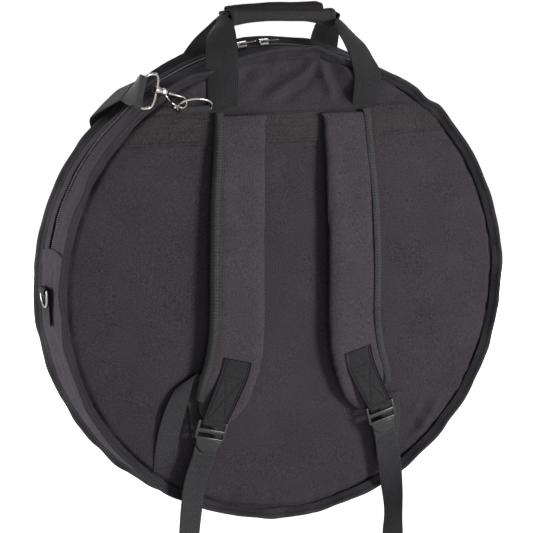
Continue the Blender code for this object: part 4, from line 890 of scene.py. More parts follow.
def front_point(x, z, lift=0.0):
    """A point on the strap side's cloth, lifted off it."""
    return Vector((x, FRONT_Y - relief(x, z) - lift, z))


# %% Strap side panel

PANEL_CELLS = 170


def strap_side_place(u, v):
    """The strap side's cloth."""
    return front_point(*disc_place(u, v, PANEL_RADIUS, rim_shift))


def round_sheet(name, place, cells, radius, outward):
    """A round sheet of cloth that grows inwards from its outer face."""
    obj = make_object(name, grid_sheet(cells, cells, place, (2.0 * radius, 2.0 * radius)), PANEL_CLOTH)
    return thicken(obj, PANEL_THICKNESS, inward(obj, outward))


panel = round_sheet("strap_side_cloth", strap_side_place, PANEL_CELLS, PANEL_RADIUS, -BACKWARD)
dress(panel, "bag", "cloth", "strap_side_panel")
print("strap side cloth", len(panel.data.polygons), "faces")

# %% [markdown]
# The far face is the same disc of cloth, flatter, because the outer pocket is sewn over most
# of it. Inside lie a foam sheet and a lining on each face, and two soft dividers between the
# cymbals. They hardly show, but they are there when the bag is looked at as a whole.
# %% Pocket side panel and the inner layers

FAR_PANEL_CELLS = 120
FAR_CROWN = 0.0016
FAR_GROOVE = 0.0025
FAR_PANEL_WAVES = ((20.0, 10.0, 0.0012), (21.0, 30.0, 0.0005))
DIVIDER_WAVES = ((30.0, 6.0, 0.0015),)
INNER_INSET = 0.012
INNER_CELLS = 60
INNER_FOLLOW = 0.9
LINING_FOLLOW = 0.8
CUT_EDGE = 0.0004


def far_relief(x, z):
    """How far the pocket side's cloth stands behind its flat."""
    share = math.hypot(x, z) / FAR_PANEL_RADIUS
    height = FAR_CROWN * (1.0 - share ** CROWN_POWER)
    height -= FAR_GROOVE * hill(share - GROOVE_SHARE, GROOVE_WIDTH_SHARE)
    return height + ripples(x, z, FAR_PANEL_WAVES)


def pocket_side_place(u, v):
    """The pocket side's cloth."""
    x, z = disc_place(u, v, FAR_PANEL_RADIUS, far_shift)
    return Vector((x, BACK_Y + far_relief(x, z), z))


far_panel = round_sheet("pocket_side_cloth", pocket_side_place, FAR_PANEL_CELLS, FAR_PANEL_RADIUS, BACKWARD)
dress(far_panel, "bag", "cloth", "pocket_side_panel")


def divider_sag(x, z):
    """A loose divider waves a little."""
    return ripples(x, z, DIVIDER_WAVES)


def inner_layer(node, material, slot, face_relief, follow):
    """A foam, lining or divider sheet that follows a share of the relief of its own face."""
    low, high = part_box(node)
    radius = (high.x - low.x) / 2.0 - INNER_INSET
    size = (2.0 * radius, 2.0 * radius)

    def place(u, v):
        x, z = disc_place(u, v, radius)
        return Vector((x, (low.y + high.y) / 2.0 + follow * face_relief(x, z), z))

    layer = make_object(node + "_sheet", grid_sheet(INNER_CELLS, INNER_CELLS, place, size), material)
    thicken(layer, high.y - low.y, 0.0, CUT_EDGE)
    dress(layer, "bag", slot, node)


inner_layer("strap_side_foam", FOAM_SKIN, "foam", soft_relief, -INNER_FOLLOW)
inner_layer("strap_side_lining", LINING_CLOTH, "lining", soft_relief, -INNER_FOLLOW)
inner_layer("pocket_side_foam", FOAM_SKIN, "foam", far_relief, INNER_FOLLOW)
inner_layer("pocket_side_lining", LINING_CLOTH, "lining", far_relief, LINING_FOLLOW)
for node in ("divider_strap_side", "divider_pocket_side"):
    inner_layer(node, LINING_CLOTH, "divider", divider_sag, 1.0)
print("inner layers made")

# %% [markdown]
# A band of coarser cloth covers the seam across the top of the face, where the handle, the
# straps and the ring are sewn in. It lies on the relief, a sheet's thickness in front, and
# its edges are not quite straight, because it was sewn by hand and eye.
# %% Reinforcement band

BAND_RIM_GAP = 0.0025
BAND_THICKNESS = 0.0014
BAND_RISE_END = 0.20
# Each edge of the band: its height, how much higher it starts on the left, how much it rises,
# where the rise starts and its waves.
BAND_TOP_EDGE = (BAND_TOP, -0.0032, 0.0085, 0.0, ((40.0, 14.0, 0.0010),))
BAND_LOW_EDGE = (BAND_LOW, -0.0020, 0.0070, 0.02, ((41.0, 14.0, 0.0010),))


def band_edge(x, top):
    """Height of the band's upper or lower edge at a place across the bag."""
    height, start, rise, rise_from, waves = BAND_TOP_EDGE if top else BAND_LOW_EDGE
    return height + start + rise * smooth_step(rise_from, BAND_RISE_END, x) + ripples(x, 0.0, waves)


def band_place(u, v):
    """Across the bag by the first share, up the band by the second."""
    z = BAND_LOW + (BAND_TOP - BAND_LOW) * v
    reach = math.sqrt((PANEL_RADIUS - BAND_RIM_GAP) ** 2 - z * z)
    x = (2.0 * u - 1.0) * reach
    z = band_edge(x, False) + (band_edge(x, True) - band_edge(x, False)) * v
    return front_point(x, z, BAND_THICKNESS / 2.0 + CLEARANCE)


band_size = (2.0 * math.sqrt(PANEL_RADIUS ** 2 - BAND_TOP ** 2), BAND_TOP - BAND_LOW)
band = make_object("band_cloth_strip", grid_sheet(150, 14, band_place, band_size), BAND_CLOTH)
thicken(band, BAND_THICKNESS, 0.0, CUT_EDGE)
dress(band, "bag", "cloth", "top_reinforcement_band")
print("band", [round(value, 3) for value in band_size])

# %% [markdown]
# The gusset is the wall between the two faces. Below it is one strip. Above, it splits into
# two strips with the zip between them, so the bag opens like a clam from one side to the
# other. The strips' folded edges stand a little proud of the zip tape and shade it.
# %% Gusset and zip strips

GUSSET_EDGE = HALF_DEPTH - PANEL_THICKNESS - CLEARANCE
ZIP_LINE = 0.012
CHAIN_WIDTH = 0.008
ZIP_LEFT_END = 171.0
ZIP_RIGHT_END = 9.0
FAR_FOLD_PROUD = 0.0016
NEAR_FOLD_PROUD = -0.0004
FOLD_REACH = 0.0024
TAPE_SINK = 0.0016
TAPE_TUCK = 0.0015
WALL_THICKNESS = 0.0016
WALL_PUFF = 0.0008
WALL_WAVE = 0.0018
ROWS_A_DEGREE = 1.5
chain_low = ZIP_LINE - CHAIN_WIDTH / 2.0
chain_high = ZIP_LINE + CHAIN_WIDTH / 2.0


def wall_point(degrees, y, lift=0.0):
    """A point on the gusset's outer face."""
    t = (y - FRONT_Y) / DEPTH
    spot = polar(1.0, degrees, 0.0)
    shift = rim_shift(degrees) * (1.0 - t) ** 2 + far_shift(degrees) * t * t
    soft = 4.0 * t * (1.0 - t)
    waves = wander(spot.x * 2.0, y * 20.0, spot.z * 2.0, 4.0, WALL_WAVE) * soft
    return polar(gusset_radius(y) + shift + WALL_PUFF * soft + waves + lift, degrees, y)


def wall_strip(name, node, start, end, y_low, y_high, material, columns, fold=0, sink=0.0):
    """A strip of the gusset; fold is 1 or -1 where its upper or lower edge meets the zip."""
    def place(u, v):
        y = y_low + (y_high - y_low) * u
        edge = y_high if fold > 0 else y_low
        full = NEAR_FOLD_PROUD if fold > 0 else FAR_FOLD_PROUD
        proud = full * hill(y - edge, FOLD_REACH) if fold else 0.0
        return wall_point(start + (end - start) * v, y, proud - sink)

    rows = round(abs(end - start) * ROWS_A_DEGREE)
    size = (y_high - y_low, math.radians(abs(end - start)) * DISC_RADIUS)
    strip = make_object(name, grid_sheet(columns, rows, place, size), material)
    thicken(strip, WALL_THICKNESS, inward(strip), CUT_EDGE)
    dress(strip, "bag", "gusset" if sink == 0.0 else "zip_chain", node)
    print(name, rows, "rows")


wall_strip("gusset_lower_cloth", "lower_gusset", ZIP_LEFT_END, ZIP_RIGHT_END + 360.0, -GUSSET_EDGE,
           GUSSET_EDGE, GUSSET_CLOTH, columns=22)
wall_strip("gusset_strip_near", "zip_strip_strap_side", ZIP_RIGHT_END, ZIP_LEFT_END, -GUSSET_EDGE,
           chain_low, GUSSET_CLOTH, columns=16, fold=1)
wall_strip("gusset_strip_far", "zip_strip_pocket_side", ZIP_RIGHT_END, ZIP_LEFT_END, chain_high,
           GUSSET_EDGE, GUSSET_CLOTH, columns=8, fold=-1)
wall_strip("zip_tape_strip", "main_zip_chain", ZIP_RIGHT_END, ZIP_LEFT_END, chain_low - TAPE_TUCK,
           chain_high + TAPE_TUCK, ZIP_TAPE, columns=8, sink=TAPE_SINK)

# %% [markdown]
# A coil zip is two rows of plastic loops, each sewn to its own tape, that mesh along the
# middle. One small oval grain stands for one loop. The two rows are half a step apart, and
# the zip's shine comes from these grains rather than from a picture of them.
# %% Zip coil

COIL_PITCH = 0.0027
COIL_HALF_LENGTH = 0.0022
COIL_HALF_WIDTH = 0.00062
COIL_HALF_HEIGHT = 0.0014
COIL_OVERLAP = 0.0010
COIL_LIFT = 0.0003
COIL_SHIFT = -0.0014
COIL_STAGGER = 0.10
COIL_HIGHEST = 0.0008
# Near both ends of the zip the coil sinks under the flat foot of a slider that has run there.
COIL_DIP = 0.0015
COIL_DIP_DEGREES = (7.8, 9.5)


grain = bmesh.new()
bmesh.ops.create_uvsphere(grain, u_segments=8, v_segments=5, radius=1.0)
COIL_GRAIN = seed_mesh(grain)


def coil_grain(bm, spot, across, along, outward):
    """One loop of the coil."""
    size = Matrix.Diagonal((COIL_HALF_LENGTH, COIL_HALF_WIDTH, COIL_HALF_HEIGHT, 1.0))
    lay(bm, COIL_GRAIN, axes_matrix(spot, across, along, outward) @ size)


coil = bmesh.new()
step = math.degrees(COIL_PITCH / DISC_RADIUS)
count = int((ZIP_LEFT_END - ZIP_RIGHT_END) / step)
for k in range(count):
    for side in (-1.0, 1.0):
        degrees = ZIP_RIGHT_END + step * (k + 0.5 + COIL_STAGGER * side)
        spot = wall_point(degrees, ZIP_LINE + COIL_SHIFT + side * COIL_OVERLAP, COIL_LIFT)
        to_end = min(degrees - ZIP_RIGHT_END, ZIP_LEFT_END - degrees)
        dip = COIL_DIP * (1.0 - smooth_step(*COIL_DIP_DEGREES, to_end))
        highest = gusset_radius(ZIP_LINE) + COIL_HIGHEST - dip
        if math.hypot(spot.x, spot.z) > highest:
            spot = polar(highest, degrees, spot.y)
        coil_grain(coil, spot, BACKWARD, polar(1.0, degrees + 90.0, 0.0), polar(1.0, degrees, 0.0))
dress(make_object("zip_coil", coil, COIL_PLASTIC), "bag", "zip_chain")
print("zip coil", 2 * count, "loops")

# %% Covers over the zip's ends

END_COVER_DEGREES = 3.2
COVER_BOW_DEGREES = 1.0
COVER_INSET = 0.001
COVER_LIFT = 0.0013
COVER_THICKNESS = 0.0014
LEFT_COVER_DROP = 1.5


def end_cover(name, node, start, towards):
    """A cloth patch over one end of the zip; its free edge bows towards the zip."""
    half = GUSSET_EDGE - COVER_INSET

    def place(u, v):
        bow = COVER_BOW_DEGREES * (1.0 - (2.0 * u - 1.0) ** 2)
        degrees = start + towards * v * (END_COVER_DEGREES + bow)
        return wall_point(degrees, -half + 2.0 * half * u, COVER_LIFT)

    size = (2.0 * GUSSET_EDGE, math.radians(END_COVER_DEGREES) * DISC_RADIUS)
    cover = make_object(name, grid_sheet(20, 8, place, size), GUSSET_CLOTH)
    thicken(cover, COVER_THICKNESS, 0.0, CUT_EDGE)
    dress(cover, "bag", "webbing", node)


end_cover("zip_end_patch_left", "zip_end_cover_left", ZIP_LEFT_END + LEFT_COVER_DROP, -1.0)
end_cover("zip_end_patch_right", "zip_end_cover_right", ZIP_RIGHT_END, 1.0)
print("end covers made")

# %% [markdown]
# A folded tape binds the raw edges of face and gusset round each rim and is sewn through.
# Its section is a narrow U that stands out at half a right angle. A line of points traces
# it, thin at the seam and full at the tip, and goes round the disc with small waves.
# %% Binding tape

BINDING_LENGTH = 0.010
BINDING_THICKNESS = 0.0038
BINDING_FOOT = 0.0042
BINDING_WALL = 0.0007
BINDING_LEAN = 45.0
BINDING_SEED = 50.0
SEAM_SHARE = 0.28
SEAM_REACH_SHARE = 0.12
SEAM_PINCH = 0.28
SEAM_LIFT = 0.00015
POLE_MERGE = 0.00002


def binding_section(u):
    """Along and aside places of the tape's outer face, from foot to foot."""
    half = BINDING_THICKNESS / 2.0
    straight = BINDING_LENGTH - half
    length = 2.0 * straight + math.pi * half
    walk = u * (length + 2.0 * BINDING_FOOT) - BINDING_FOOT
    if walk < straight:
        along, aside = walk, -half
    elif walk > length - straight:
        along, aside = length - walk, half
    else:
        angle = (walk - straight) / half
        along, aside = straight + half * math.sin(angle), -half * math.cos(angle)
    pinch = hill(along / BINDING_LENGTH - SEAM_SHARE, SEAM_REACH_SHARE)
    return along, aside * (1.0 - SEAM_PINCH * pinch)


def binding_point(side, degrees, along, aside, lift=0.0):
    """A place of the binding round one rim; side is -1 for the strap side."""
    spot = polar(1.0, degrees, 0.0)
    shift = rim_shift(degrees) if side < 0.0 else far_shift(degrees)
    seed = BINDING_SEED + side
    lean = math.radians(BINDING_LEAN + wander(spot.x, seed, spot.z, 8.0, 22.0))
    fat = 1.0 + wander(spot.x, seed + 3.0, spot.z, 22.0, 0.55)
    wobble = wander(spot.x, seed + 6.0, spot.z, 11.0, 0.0018)
    base = gusset_radius(side * HALF_DEPTH) - PANEL_INSET / 2.0 + shift
    aside = (aside + math.copysign(lift, aside)) * fat
    radius = base + math.cos(lean) * along + math.sin(lean) * aside
    y = side * (HALF_DEPTH + math.sin(lean) * along - math.cos(lean) * aside) + wobble
    return polar(radius, degrees, y)


def make_binding(name, node, side):
    """One rim's tape."""
    def place(u, v):
        along, aside = binding_section(u)
        return binding_point(side, 360.0 * v, along, aside)

    bm = grid_sheet(20, 540, place, (2.0 * BINDING_LENGTH, math.tau * DISC_RADIUS), POLE_MERGE)
    tape = make_object(name, bm, BINDING_TAPE)
    thicken(tape, BINDING_WALL, -1.0)
    dress(tape, "bag", "binding", node)
    print(name, len(tape.data.polygons), "faces")


make_binding("binding_tape_near", "strap_side_binding", -1.0)
make_binding("binding_tape_far", "pocket_side_binding", 1.0)
seam_half = BINDING_THICKNESS / 2.0 * (1.0 - SEAM_PINCH)
seam_runs = []
for side in (-1.0, 1.0):
    for face in (-1.0, 1.0):
        seam_runs.append([binding_point(side, k / 2.0, SEAM_SHARE * BINDING_LENGTH, face * seam_half, SEAM_LIFT)
                          for k in range(721)])
stitch_piece("binding_stitches", seam_runs, "bag")

# %% [markdown]
# Two long webbings make the handle, one from each face. Each comes up from its seam, turns
# edge-on as it nears the grip, narrows into the padded wrap and goes down the other side.
# The stations below repeat the solid's route, and the crown makes the webbing curl where
# the wrap gathers it.
# %% Handle webbings

HANDLE_WIDTH = 0.036
GATHERED_WIDTH = 0.022
GRIP_LENGTH = 0.140
GRIP_WIDTH = 0.030
GRIP_HEIGHT = 0.027
GRIP_MIDDLE = -CENTRE.z + GRIP_HEIGHT / 2.0
LAYER_OFFSET = (WEBBING_THICKNESS + CLEARANCE) / 2.0
# Each leg from its seam up: place across the bag, distance in front of or behind the middle,
# share of the rise to the grip, the way its width points, and its share of the full width.
NEAR_LEGS = {
    1.0: ((0.1000, 0.0392, 0.150, (1.0, 0.0, 0.02), 1.0), (0.1003, 0.0440, 0.331, (0.98, -0.1, 0.02), 1.0),
          (0.0904, 0.0475, 0.525, (0.95, 0.31, 0.02), 1.0), (0.0820, 0.0390, 0.700, (0.9, 0.44, 0.02), 1.0),
          (0.0745, 0.0260, 0.820, (0.8, 0.6, 0.0), 0.9), (0.0715, 0.0120, 0.910, (0.6, 0.8, 0.0), 0.72)),
    -1.0: ((0.0903, 0.0392, 0.150, (0.98, 0.2, 0.02), 1.04), (0.0922, 0.0445, 0.331, (0.93, 0.36, 0.02), 1.06),
           (0.0944, 0.0475, 0.525, (0.93, 0.36, 0.02), 1.06), (0.0918, 0.0390, 0.700, (0.93, 0.36, -0.05), 1.04),
           (0.0870, 0.0260, 0.810, (0.8, 0.55, -0.25), 0.97), (0.0790, 0.0120, 0.910, (0.5, 0.85, -0.2), 0.7)),
}
FAR_LEGS = {
    1.0: ((0.1019, 0.0392, 0.150, (1.0, 0.0, 0.02), 1.0), (0.0930, 0.0450, 0.331, (0.97, 0.25, 0.02), 1.0),
          (0.0810, 0.0480, 0.550, (0.93, 0.36, 0.02), 1.0), (0.0780, 0.0400, 0.710, (0.93, 0.36, 0.02), 1.0),
          (0.0750, 0.0240, 0.860, (0.8, 0.6, 0.0), 0.9), (0.0715, 0.0110, 0.950, (0.6, 0.8, 0.0), 0.72)),
    -1.0: ((0.0990, 0.0392, 0.150, (1.0, 0.0, 0.02), 1.0), (0.1020, 0.0455, 0.331, (1.0, 0.05, 0.02), 1.0),
           (0.0963, 0.0480, 0.500, (0.97, 0.22, 0.2), 1.0), (0.0857, 0.0370, 0.710, (0.88, 0.47, 0.2), 0.97),
           (0.0780, 0.0200, 0.890, (0.65, 0.76, 0.1), 0.8), (0.0725, 0.0100, 0.965, (0.5, 0.85, 0.0), 0.7)),
}
CURL_PLACES = (0.34, 0.66)
CURL_REACH_SHARE = 0.05
CURL_HEIGHT = 0.0016
HANDLE_BOW = 0.0012
HANDLE_WAVE = 0.0028


def leg_rows(legs, side, face):
    """Rows of one handle leg, from its seam to just outside the grip."""
    start_y = face * (HALF_DEPTH + CLEARANCE + WEBBING_THICKNESS / 2.0)
    rise = GRIP_MIDDLE - BAND_TOP
    seam = Vector((side * legs[side][0][0], start_y, BAND_TOP + 2.0 * CLEARANCE))
    rows = [(seam, RIGHT, HANDLE_WIDTH)]
    for x, y, z_share, lean, width_share in legs[side]:
        centre = Vector((side * x, face * y, BAND_TOP + z_share * rise))
        across = Vector((lean[0], -face * side * lean[1], side * lean[2])).normalized()
        rows.append((centre, across, HANDLE_WIDTH * width_share))
    return rows


def handle_rows(legs, face):
    """The whole route of one webbing, from its right seam to its left one; the two lie one
    on the other inside the grip."""
    height = GRIP_MIDDLE + face * LAYER_OFFSET
    half = GRIP_LENGTH / 2.0
    across = Vector((0.0, -face, 0.0))
    inside = [(Vector((half, 0.0, height)), across, GATHERED_WIDTH),
              (Vector((0.0, 0.0, height)), across, GATHERED_WIDTH)]
    right = smooth_rows(leg_rows(legs, 1.0, face) + inside, 8)
    flipped = [(centre, -way, width) for centre, way, width in leg_rows(legs, -1.0, face)]
    inside_left = [inside[1], (Vector((-half, 0.0, height)), across, GATHERED_WIDTH)]
    left = smooth_rows(inside_left + flipped[::-1], 8)
    return right + left[1:]


def handle_crown(share):
    """The webbing curls a little, most just outside the grip's two ends."""
    curl = sum(hill(share - place, CURL_REACH_SHARE) for place in CURL_PLACES)
    ends = smooth_step(0.02, 0.10, share) * smooth_step(0.02, 0.10, 1.0 - share)
    return CURL_HEIGHT * curl + HANDLE_BOW * ends


for name, node, legs, face in (
        ("handle_band_near", "handle_webbing_strap_side", NEAR_LEGS, -1.0),
        ("handle_band_far", "handle_webbing_pocket_side", FAR_LEGS, 1.0)):
    rows = handle_rows(legs, face)
    handle = ribbon(name, rows, BLACK_WEBBING, columns=10, crown=handle_crown, wave=HANDLE_WAVE)
    dress(handle, "bag", "webbing", node)
    print(name, round(rows_length(rows), 3), "m long")

# %% [markdown]
# The grip is a padded sleeve round both webbings, closed on top by a flap. A tube with a
# wall is one grid that goes along the outside, over a rolled end and back along the bore.
# Seams near both ends pull it in, and its underside waves between them.
# %% Grip sleeve

GRIP_CORNER_POWER = 3.2
BODY_MIDDLE = -CENTRE.z + 0.0095
BODY_HALF = 0.0092
BODY_ARCH = 0.0034
BODY_SAG = 0.0036
BODY_SAG_REACH = 0.022
BORE_WIDTH = 0.025
BORE_HEIGHT = 0.0044
BORE_CORNER_POWER = 4.0
GRIP_SEAM = 0.0085
OPEN_END = 0.007
OPEN_SHARES = {True: 1.0, False: 0.35}
OUTSIDE_SHARE = 0.72
# Where the sleeve is drawn in or swells near its ends: share, distance from the end, reach.
GRIP_RINGS = ((-0.12, 0.0, 0.0020), (-0.070, GRIP_SEAM, 0.0014), (0.09, 0.004, 0.004))


def squircle(angle, half_y, half_z, power):
    """A rounded rectangle's point at an angle."""
    c = math.cos(angle)
    s = math.sin(angle)
    y = math.copysign(abs(c) ** (2.0 / power), c) * half_y
    z = math.copysign(abs(s) ** (2.0 / power), s) * half_z
    return y, z


def grip_place(u, v):
    """Round the sleeve by the first share; out along it and back inside by the second."""
    angle = math.tau * u
    outside = v < OUTSIDE_SHARE
    along = v / OUTSIDE_SHARE if outside else 1.0 - (v - OUTSIDE_SHARE) / (1.0 - OUTSIDE_SHARE)
    x = (along - 0.5) * GRIP_LENGTH
    end = GRIP_LENGTH / 2.0 - abs(x)
    if outside:
        y, z = squircle(angle, GRIP_WIDTH / 2.0, BODY_HALF, GRIP_CORNER_POWER)
        swell = 1.0 + wander(x, y * 3.0, z * 3.0, 40.0, 0.07)
        for share, ring_place, reach in GRIP_RINGS:
            swell *= 1.0 + share * hill(end - ring_place, reach)
        under = max(0.0, -math.sin(angle))
        arch = BODY_ARCH * (1.0 - (2.0 * x / GRIP_LENGTH) ** 2) - BODY_SAG * hill(end, BODY_SAG_REACH)
        return Vector((x, y * swell, BODY_MIDDLE + z * swell + arch * under))
    y, z = squircle(angle, BORE_WIDTH / 2.0, BORE_HEIGHT / 2.0, BORE_CORNER_POWER)
    opened = hill(end, OPEN_END) * OPEN_SHARES[x < 0.0]
    middle = GRIP_MIDDLE + (BODY_MIDDLE - GRIP_MIDDLE) * opened * 0.8
    return Vector((x, y * (1.0 + 0.03 * opened), middle + z * (1.0 + 2.1 * opened)))


bm = grid_sheet(64, 100, grip_place, (0.10, GRIP_LENGTH), POLE_MERGE)
ends = [edge for edge in bm.edges if edge.is_boundary]
bmesh.ops.bridge_loops(bm, edges=ends)
bmesh.ops.recalc_face_normals(bm, faces=bm.faces)
grip = make_object("grip_sleeve", bm, GRIP_CLOTH)
dress(grip, "bag", "grip", "handle_wrap")
seam_share = GRIP_SEAM / GRIP_LENGTH
runs = []
for share in (seam_share, 1.0 - seam_share):
    runs.append([grip_place(k / 90.0, OUTSIDE_SHARE * share) for k in range(91)])
stitch_piece("grip_stitches", runs, "bag")
print("grip sleeve", len(grip.data.polygons), "faces")

# %% Closure flap

flap_low, flap_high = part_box("wrap_closure_flap")
FLAP_REST = BODY_MIDDLE + BODY_HALF + 0.0012
FLAP_DROOP = 0.0026
FLAP_EDGE = 0.0005
FLAP_RISES = ((0.0, 0.0010), (0.20, 0.0038), (0.45, 0.0062), (0.95, 0.0068), (1.0, 0.0045))


def flap_place(u, v):
    """Across the flap by the first share, along it by the second; its two edges lie on the grip."""
    x = flap_low.x + (flap_high.x - flap_low.x) * v
    y = flap_low.y + (flap_high.y - flap_low.y) * u
    for (start, low), (end, high) in zip(FLAP_RISES, FLAP_RISES[1:]):
        if start <= v <= end:
            rise = low + (high - low) * (v - start) / (end - start)
    arch = 1.0 - abs(2.0 * u - 1.0) ** 5
    waves = wander(x, y, 60.0, 26.0, 0.0014) * arch
    return Vector((x, y, FLAP_REST + rise * arch - FLAP_DROOP * (1.0 - arch) + waves))


size = (flap_high.y - flap_low.y, flap_high.x - flap_low.x)
flap = make_object("grip_flap", grid_sheet(24, 60, flap_place, size), FLAP_CLOTH)
thicken(flap, flap_high.z - flap_low.z, 0.0, FLAP_EDGE)
dress(flap, "wrap_flap", "grip", "wrap_closure_flap")
print("flap", [round(value, 3) for value in size])

# %% [markdown]
# A D ring hangs in a folded loop of webbing: its straight bar lies in the fold and its round
# bow stands off. The base of a loop is a placing matrix, with x across the webbing, y away
# from the bag and z up along it, so one function makes all three.
# %% Ring loops and D rings

RING_WIRE = 0.0016
RING_SIDE_GAP = 0.0012
TOP_LOOP_WIDTH = 0.038
SIDE_LOOP_WIDTH = 0.025
TOP_RING_HEIGHT = 0.015
SIDE_RING_HEIGHT = 0.021
LOOP_TAB_LENGTH = 0.044
LOOP_RETURN_LENGTH = 0.009
TOP_LOOP_RISE = 0.0035
TOP_RING_TILT = 35.0
RIGHT_RING_TILT = 32.0
SIDE_LOOP_ANGLE = 177.8
RING_ROUNDNESS_SHARE = 0.7
TOP_ROLL = 0.0036
LOOP_ROW = 0.003
FRONT_TURN = 70.0
BAR_OUT = 2.0 * CLEARANCE + WEBBING_THICKNESS + RING_WIRE
FOLD_RADIUS = RING_WIRE + CLEARANCE + WEBBING_THICKNESS / 2.0
ring_low, ring_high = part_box("d_ring_top")
TOP_LOOP_X = (ring_low.x + ring_high.x) / 2.0


def loop_rows(base, width, tab_length, return_length, pinched, roll):
    """A webbing folded over a bar: up behind it, over its top and down in front."""
    across = base.col[0].to_3d()

    def row(out, up):
        return base @ Vector((0.0, out, up)), across, width

    back = BAR_OUT - FOLD_RADIUS
    steps = max(2, round(tab_length / LOOP_ROW))
    rows = [row(back, -tab_length * (1.0 - k / steps)) for k in range(steps)]
    for k in range(17):
        angle = math.pi * k / 16.0
        rows.append(row(BAR_OUT - FOLD_RADIUS * math.cos(angle), roll * math.sin(angle)))
    if pinched:
        close = back + WEBBING_THICKNESS + CLEARANCE
        for share, out in ((0.25, close + FOLD_RADIUS * 1.6), (0.5, close + FOLD_RADIUS), (1.0, close)):
            rows.append(row(out, -return_length * share))
    else:
        for k in range(1, 7):
            angle = math.radians(FRONT_TURN) * k / 6.0
            rows.append(row(BAR_OUT + FOLD_RADIUS * math.cos(angle), -roll * math.sin(angle)))
    return rows


def ring_points(base, width, height, direction):
    """A D ring: its bar in the loop and a round bow standing off to one side."""
    half = width / 2.0 + RING_SIDE_GAP + RING_WIRE
    points = [base @ Vector((share * half, BAR_OUT, 0.0)) for share in (-1.0, -0.5, 0.0, 0.5, 1.0)]
    for k in range(1, 40):
        angle = math.pi * k / 40.0
        lift = direction * height * math.sin(angle) ** RING_ROUNDNESS_SHARE
        points.append(base @ (Vector((half * math.cos(angle), BAR_OUT, 0.0)) + lift))
    return points


def side_base(angle, y):
    """A base on the gusset whose outward axis is square to its wall at the tab's middle."""
    left = angle > 90.0
    middle_angle = angle + math.degrees(LOOP_TAB_LENGTH / 2.0 / DISC_RADIUS) * (1.0 if left else -1.0)
    outward = polar(1.0, middle_angle, 0.0)
    up = Vector((-outward.z, 0.0, outward.x)) * (-1.0 if left else 1.0)
    foot = polar(gusset_radius(y + SIDE_LOOP_WIDTH / 2.0), middle_angle, y)
    return axes_matrix(foot + up * LOOP_TAB_LENGTH / 2.0, outward.cross(up), outward, up)


def ring_set(suffix, base, width, tab_length, return_length, height, direction, pinched):
    """One loop and its D ring; only the two side loops are pinched shut behind the ring."""
    roll = FOLD_RADIUS if pinched else TOP_ROLL
    rows = loop_rows(base, width, tab_length, return_length, pinched, roll)
    # The top loop takes the lighter strap webbing as a painted highlight on its roll.
    loop = ribbon("loop_band_" + suffix, rows, BLACK_WEBBING if pinched else STRAP_WEBBING_WITH_PAINTED_LIGHT)
    dress(loop, "bag", "webbing", "ring_loop_" + suffix)
    bm = wire_mesh(ring_points(base, width, height, direction), RING_WIRE, True)
    dress(make_object("ring_wire_" + suffix, bm, NICKEL), "d_ring_" + suffix, "nickel", "d_ring_" + suffix)
    print("loop and ring,", suffix)


top_base = axes_matrix(Vector((TOP_LOOP_X, FRONT_Y, BAND_TOP + TOP_LOOP_RISE)), -RIGHT, -BACKWARD, UP)
left_base = side_base(SIDE_LOOP_ANGLE, 0.008)
right_base = side_base(180.0 - SIDE_LOOP_ANGLE, 0.020)
tilt = math.radians(TOP_RING_TILT)
lean = math.radians(RIGHT_RING_TILT)
short = TOP_LOOP_RISE - 2.0 * CLEARANCE
ring_set("top", top_base, TOP_LOOP_WIDTH, short, short, TOP_RING_HEIGHT,
         Vector((0.0, math.sin(tilt), math.cos(tilt))), False)
ring_set("left", left_base, SIDE_LOOP_WIDTH, LOOP_TAB_LENGTH, LOOP_RETURN_LENGTH,
         SIDE_RING_HEIGHT, -UP, True)
ring_set("right", right_base, SIDE_LOOP_WIDTH, LOOP_TAB_LENGTH, LOOP_RETURN_LENGTH,
         SIDE_RING_HEIGHT, Vector((0.0, math.sin(lean), -math.cos(lean))), True)

# %% [markdown]
# A snap hook has four parts: the frame that the strap is sewn round, a boss with the swivel,
# a cast barrel that runs out into the hook, and a thin sprung gate. They are modelled from
# wires and rods in the hook's own plane, x towards the nose and z away from the gate.
# %% Snap hooks

HOOK_ROD = 0.0014
ROD_CORNER = 0.0003
BARREL_RADIUS = 0.0045
BARREL_LENGTH = 0.009
SHANK_LENGTH = 0.024
NOSE_RADIUS = 0.0065
FRAME_ROD = 0.0019
FRAME_REACH = 0.024
FRAME_HALF_WIDTH = 0.0215
FRAME_SQUARENESS = 3.4
FRAME_SHIFT = 0.004
BOSS_RADIUS = 0.0042
BOSS_LENGTH = 0.006
GATE_ROD = 0.0011
GATE_LENGTH = 0.0115
GATE_PIVOT_AHEAD = 0.008
GATE_PIVOT_DROP = -0.0105
KNOB_RADIUS = 0.0016
KNOB_LENGTH = 0.0045
BARREL_SIDES = 6
WAIST_SHARE = 0.62
TOP_CONTACT_SHARE = -0.8
# Which way each hook runs and its gate faces, and how its frame is turned about it.
TOP_HOOK_RUN = Vector((0.93, 0.33, -0.25))
TOP_GATE_WAY = Vector((0.0, -0.17, -0.985))
TOP_FRAME_RUN = Vector((0.93, 0.30, -0.02))
TOP_FRAME_UP = Vector((0.40, -0.20, 0.89))
RIGHT_HOOK_RUN = Vector((-0.12, -0.50, 0.86))
RIGHT_FRAME_UP = Vector((0.0, 1.0, 0.2))


def hook_base(contact, run, gate_way):
    """Place a hook so that its nose goes round the ring's wire at the contact."""
    along = run.normalized()
    gate = (gate_way - along * gate_way.dot(along)).normalized()
    lift = -gate
    origin = contact - along * (BARREL_LENGTH + SHANK_LENGTH) - gate * NOSE_RADIUS
    return axes_matrix(origin, along, lift.cross(along), lift)


def turned_about(base, up_way, along_way=None):
    """The same origin, x along a direction and z brought as near as it goes to another one."""
    along = base.col[0].to_3d() if along_way is None else along_way.normalized()
    up = (up_way - along * up_way.dot(along)).normalized()
    return axes_matrix(base.translation, along, up.cross(along), up)


